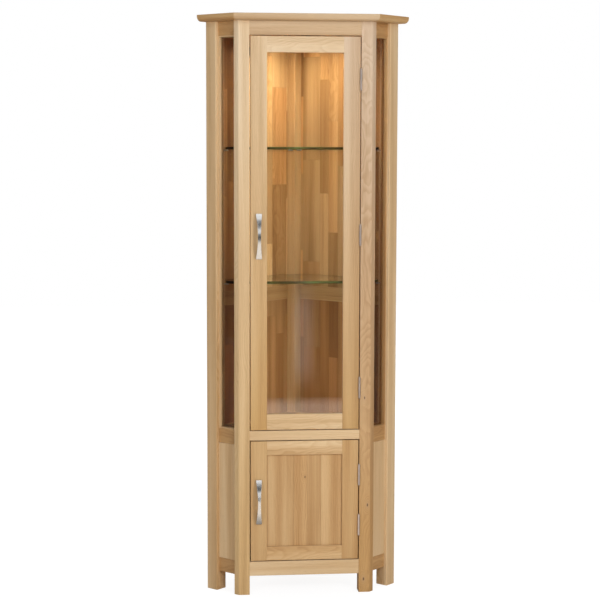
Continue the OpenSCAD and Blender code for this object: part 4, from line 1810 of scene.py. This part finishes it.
@dataclass
class GlazedDoor(Door):
    """A door with a pane, held from behind by beads."""

    bead_w: float = 7 * MM
    bead_layer: Span = (12 * MM, 19.2 * MM)
    rebate: float = 8 * MM
    bead_seed: int = 92

    def filling(self) -> None:
        """Builds the glass and the mitred beads behind it."""
        pane = self.node("glass")
        dress_solid(pane, f"{pane}_pane", PANE, Slot.PANE, self.body, steps=1)
        front, back = (self.face + depth for depth in self.bead_layer)
        x = self.half_width - self.stile_w + self.rebate
        z0 = self.bottom + self.rail_h - self.rebate
        z1 = self.bottom + self.height - self.rail_h + self.rebate
        oak = Oak(HONEY, Grain.UPRIGHT, Heading.FRONT, self.bead_seed)
        node = self.node("beads")
        beads = BeadFrame((-x, front, z0), (x, back, z1), self.bead_w)
        beads.build(node, "door bead", node, pane, oak, PLAN.on_front(), self.body)


@dataclass
class PanelledDoor(Door):
    """A door with a panel of glued oak."""

    panel: Oak = Oak(
        RUSSET, Grain.UPRIGHT, Heading.FRONT, seed=96,
        staves=Staves(width=56 * MM, length=3000 * MM, contrast=0.07, blush=0.0),
        knots=(Knot(across=2 * MM, along=73 * MM, radius=2.2 * MM),), figure=0.3,
    )

    def filling(self) -> None:
        """Builds the glued panel."""
        build_board(self.node("panel"), self.panel, Slot.OUTER_OAK, self.body)


def doors() -> list[Door]:
    """Lists the two doors, as they are cut and hung.

    Returns:
        The upper door and the lower door.
    """
    hinges = ButtHinges()
    return [
        GlazedDoor(
            Body.UPPER_DOOR, bottom=522 * MM, height=1212 * MM, handle_z=1124 * MM, hinges=hinges.upper,
            first_seed=81, batches=(FAIR, ROSY, FAIR, PALE),
            # Painted shade at the feet of the upper door's stiles.
            painted_foot_shades=((0.73, 0.57, 0.32), (0.86, 0.71, 0.41)),
        ),
        PanelledDoor(
            Body.LOWER_DOOR, bottom=108 * MM, height=378 * MM, handle_z=295 * MM, hinges=hinges.lower,
            first_seed=85, batches=(TAWNY, TAWNY, HONEY, RUSSET),
        ),
    ]


@dataclass
class FrameScrews:
    """The screws in the frame: the hinges' and the catches'."""

    def build(self) -> None:
        """Builds the screws as one piece."""
        shape = bmesh.new()
        hinges = ButtHinges()
        hinges.screws(shape, (*hinges.lower, *hinges.upper), 1)
        Catches().screws(shape)
        finish_piece("frame_screws_cross_headed", "frame_screws", shape, [STEEL])


# ---------------------------------------------------------------- the studio


@dataclass
class Viewpoint:
    """Where the camera stands and how it is turned."""

    place: Point = (-0.5182, -5.1149, 1.4013)
    ahead: Point = (0.100751, 0.990359, -0.095065)
    right: Point = (0.994885, -0.100993, 0.002279)
    lens: float = 96.79
    sensor: float = 36.0
    sight: float = 60.0

    def build(self) -> None:
        """Makes the scene's camera."""
        camera = bpy.data.cameras.new("camera")
        camera.lens = self.lens
        camera.sensor_width = self.sensor
        camera.clip_end = self.sight
        right, ahead = Vector(self.right), Vector(self.ahead)
        turn = Matrix((right, right.cross(ahead), -ahead)).transposed().to_4x4()
        stand = bpy.data.objects.new("camera", camera)
        stand.matrix_world = Matrix.Translation(self.place) @ turn
        bpy.context.scene.collection.objects.link(stand)
        bpy.context.scene.camera = stand


@dataclass(frozen=True)
class SoftLamp:
    """One soft square lamp aimed at the cupboard."""

    name: str
    place: Point
    aim_z: float
    size: float
    power: float
    colour: Colour = WHITE

    def build(self) -> None:
        """Hangs the lamp where neither the camera nor a mirror shows it."""
        lamp = new_lamp(self.name, "SQUARE", self.size, self.power, self.colour)
        lamp.location = self.place
        way = Vector((0.0, 0.0, self.aim_z)) - Vector(self.place)
        lamp.rotation_euler = way.to_track_quat("-Z", "Y").to_euler()
        lamp.visible_camera = False
        lamp.visible_glossy = False


@dataclass(frozen=True)
class FloorFinish(Finish):
    """A nearly white floor with the cupboard's shadow, which glass and metal mirror as a darker one.

    A span is where something starts and where it is whole, in metres from the cupboard.
    """

    front: float
    fade: float = 0.3
    far_strip: Span = (-3.3, -3.55)
    far_level: float = 0.75
    near_strip: Span = (-0.15, -0.5)
    near_levels: Span = (0.1, 0.95)
    aside: Span = (0.6, 0.9)
    aside_level: float = 0.1
    halo: Span = (0.6, 2.2)
    halo_level: float = 0.9
    mirror_tint: Colour = (1.0, 0.89, 0.77)
    shadow_depth: Colour = (0.2, 0.2, 0.2)
    bounce: Colour = (0.74, 0.64, 0.52)

    def mirrored(self, sheet: NodeSheet) -> Socket:
        """Works out how bright the floor is in glass and metal.

        Args:
            sheet: The material's sheet.

        Returns:
            The level.
        """
        x, y, _ = sheet.parts(sheet.place())
        far = sheet.spread(y, *self.far_strip, 0.0, self.far_level)
        near = sheet.spread(y, *self.near_strip, *self.near_levels)
        aside = sheet.spread(sheet.number("ABSOLUTE", x), *self.aside, 1.0, self.aside_level)
        fade = sheet.spread(y, self.front, self.front + self.fade)
        return sheet.times(sheet.times_plus(near, aside, far), fade)

    def shader(self, sheet: NodeSheet) -> Socket:
        """Adds the floor as it is seen, as it is mirrored and as it sends light on.

        Args:
            sheet: The material's sheet.

        Returns:
            The shader.
        """
        rays = sheet.add("ShaderNodeLightPath").outputs
        in_mirror = sheet.number("GREATER_THAN", rays["Glossy Depth"], SOME)
        level = sheet.spread(sheet.vector("LENGTH", sheet.place()), *self.halo, self.halo_level, 1.0)
        level = sheet.plus(level, sheet.times(sheet.minus(self.mirrored(sheet), level), in_mirror))
        tint = sheet.mixed(in_mirror, WHITE, self.mirror_tint)
        glow = sheet.add("ShaderNodeEmission", Color=tint, Strength=level).outputs[0]
        shaded = sheet.add("ShaderNodeBsdfDiffuse", Color=self.shadow_depth).outputs[0]
        shown = sheet.add("ShaderNodeAddShader", None, glow, shaded).outputs[0]
        plain = sheet.add("ShaderNodeBsdfDiffuse", Color=self.bounce).outputs[0]
        seen = sheet.plus(rays["Is Camera Ray"], rays["Is Glossy Ray"])
        seen = sheet.number("ADD", seen, rays["Is Transmission Ray"], clamp=True)
        seen = sheet.times(seen, sheet.number("LESS_THAN", rays["Diffuse Depth"], SOME))
        return sheet.add("ShaderNodeMixShader", None, seen, plain, shown).outputs[0]


@dataclass
class Floor:
    """The studio's floor."""

    front: float = -4.12
    back: float = 9.0
    width: float = 14.0

    def build(self) -> None:
        """Lays the floor."""
        shape = bmesh.new()
        bmesh.ops.create_grid(shape, x_segments=1, y_segments=1, size=0.5)
        bmesh.ops.scale(shape, vec=(self.width, self.back - self.front, 1.0), verts=shape.verts)
        bmesh.ops.translate(shape, vec=(0.0, (self.front + self.back) / 2, 0.0), verts=shape.verts)
        floor = new_object("floor", shape, [FloorFinish("pale floor", self.front)])


@dataclass
class Room:
    """The world: white to the camera, soft light on the way, and a plain room to metal and glass.

    A span is where something starts and where it is whole: by the way that a ray goes, with y behind
    and z up, or by its slope, which is how far it goes aside for each step to the front.
    """

    ambient: float = 0.2
    behind: Span = (0.4, 0.8)
    behind_levels: Span = (0.03, 1.0)
    ceiling: Span = (0.68, 0.76)
    high_wall: Span = (0.34, 0.4)
    high_wall_level: float = 0.12
    window_foot: Span = (0.07, 0.12)
    window_head: Span = (0.4, 0.34)
    window_ahead: Span = (-0.2, -0.5)
    window_level: float = 1.1
    flank_inner: Span = (0.35, 0.6)
    flank_outer: Span = (2.6, 1.6)
    flank_foot: Span = (-0.3, -0.1)
    flank_level: float = 0.6
    stand_left: Span = (0.096, 0.1)
    stand_right: Span = (0.112, 0.106)
    stand_head: Span = (-0.08, -0.1)
    stand_foot: Span = (-0.15, -0.135)
    stand_level: float = 0.7
    least_step: float = 0.01

    def mirrored(self, sheet: NodeSheet) -> Socket:
        """Works out how bright the room is that metal and glass mirror.

        Args:
            sheet: The world's sheet.

        Returns:
            The level.
        """
        x, y, z = sheet.parts(sheet.add("ShaderNodeTexCoord").outputs["Generated"])
        step = sheet.number("MAXIMUM", sheet.times(y, -1.0), self.least_step)
        slope = sheet.number("DIVIDE", x, step)
        steep = sheet.number("ABSOLUTE", slope)
        walls = sheet.spread(z, *self.high_wall, 0.0, self.high_wall_level)
        level = sheet.plus(sheet.spread(z, *self.ceiling), walls)
        window = sheet.patch((z, self.window_foot), (z, self.window_head), (y, self.window_ahead))
        level = sheet.times_plus(window, self.window_level, level)
        flanks = sheet.patch((steep, self.flank_inner), (steep, self.flank_outer), (z, self.flank_foot))
        level = sheet.times_plus(flanks, self.flank_level, level)
        level = sheet.plus(sheet.spread(y, *self.behind, *self.behind_levels), level)
        stand = sheet.patch(
            (slope, self.stand_left), (slope, self.stand_right), (z, self.stand_head), (z, self.stand_foot),
        )
        return sheet.times_plus(stand, self.stand_level, level)

    def build(self) -> None:
        """Makes the world."""
        world = bpy.data.worlds.new("studio")
        bpy.context.scene.world = world
        sheet = new_sheet(world)
        rays = sheet.add("ShaderNodeLightPath").outputs
        first = sheet.number("LESS_THAN", rays["Diffuse Depth"], SOME)
        in_mirror = sheet.times(sheet.number("GREATER_THAN", rays["Glossy Depth"], SOME), first)
        white = sheet.number("ADD", rays["Is Camera Ray"], rays["Is Transmission Ray"], clamp=True)
        white = sheet.times(white, sheet.minus(first, in_mirror))
        other = sheet.minus(sheet.minus(1.0, white), in_mirror)
        level = sheet.times_plus(in_mirror, self.mirrored(sheet), white)
        level = sheet.times_plus(other, self.ambient, level)
        sky = sheet.add("ShaderNodeBackground", Color=WHITE, Strength=level).outputs[0]
        sheet.add("ShaderNodeOutputWorld", Surface=sky)


@dataclass
class Studio:
    """The room, the floor and the soft lamps."""

    lamps: tuple[SoftLamp, ...] = (
        SoftLamp("high key", (0.2, -3.6, 2.75), aim_z=1.1, size=1.4, power=38.0, colour=(0.95, 1.0, 1.07)),
        SoftLamp("left key", (-1.8, -3.0, 1.7), aim_z=1.1, size=0.6, power=24.0, colour=(0.97, 1.0, 1.05)),
        SoftLamp("right key", (1.5, -3.2, 1.7), aim_z=1.1, size=0.5, power=32.0, colour=(0.97, 1.0, 1.05)),
        SoftLamp("low fill", (1.3, -3.4, 0.8), aim_z=0.5, size=1.0, power=15.0, colour=(1.0, 0.78, 0.48)),
        SoftLamp("rear left", (-2.6, 2.7, 1.9), aim_z=0.9, size=1.6, power=62.0),
        SoftLamp("rear right", (2.6, 2.7, 1.9), aim_z=0.9, size=1.6, power=62.0),
    )

    def build(self) -> None:
        """Sets up the studio."""
        bpy.context.scene.view_settings.view_transform = "Standard"
        for part in (Room(), Floor(), *self.lamps):
            part.build()


def main() -> None:
    """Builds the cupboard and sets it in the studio."""
    logging.basicConfig(level=logging.INFO, format="%(name)s %(message)s")
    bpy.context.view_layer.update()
    assemblies = [
        Studio(), Viewpoint(), Cornice(), PostsAndRails(), SideGlazing(), Back(), Floors(),
        GlassShelves(), CabinetLight(), ButtHinges(), Catches(), *doors(), FrameScrews(),
    ]
    for assembly in assemblies:
        LOG.info("building %s", type(assembly).__name__)
        assembly.build()


if __name__ == "__main__":
    main()
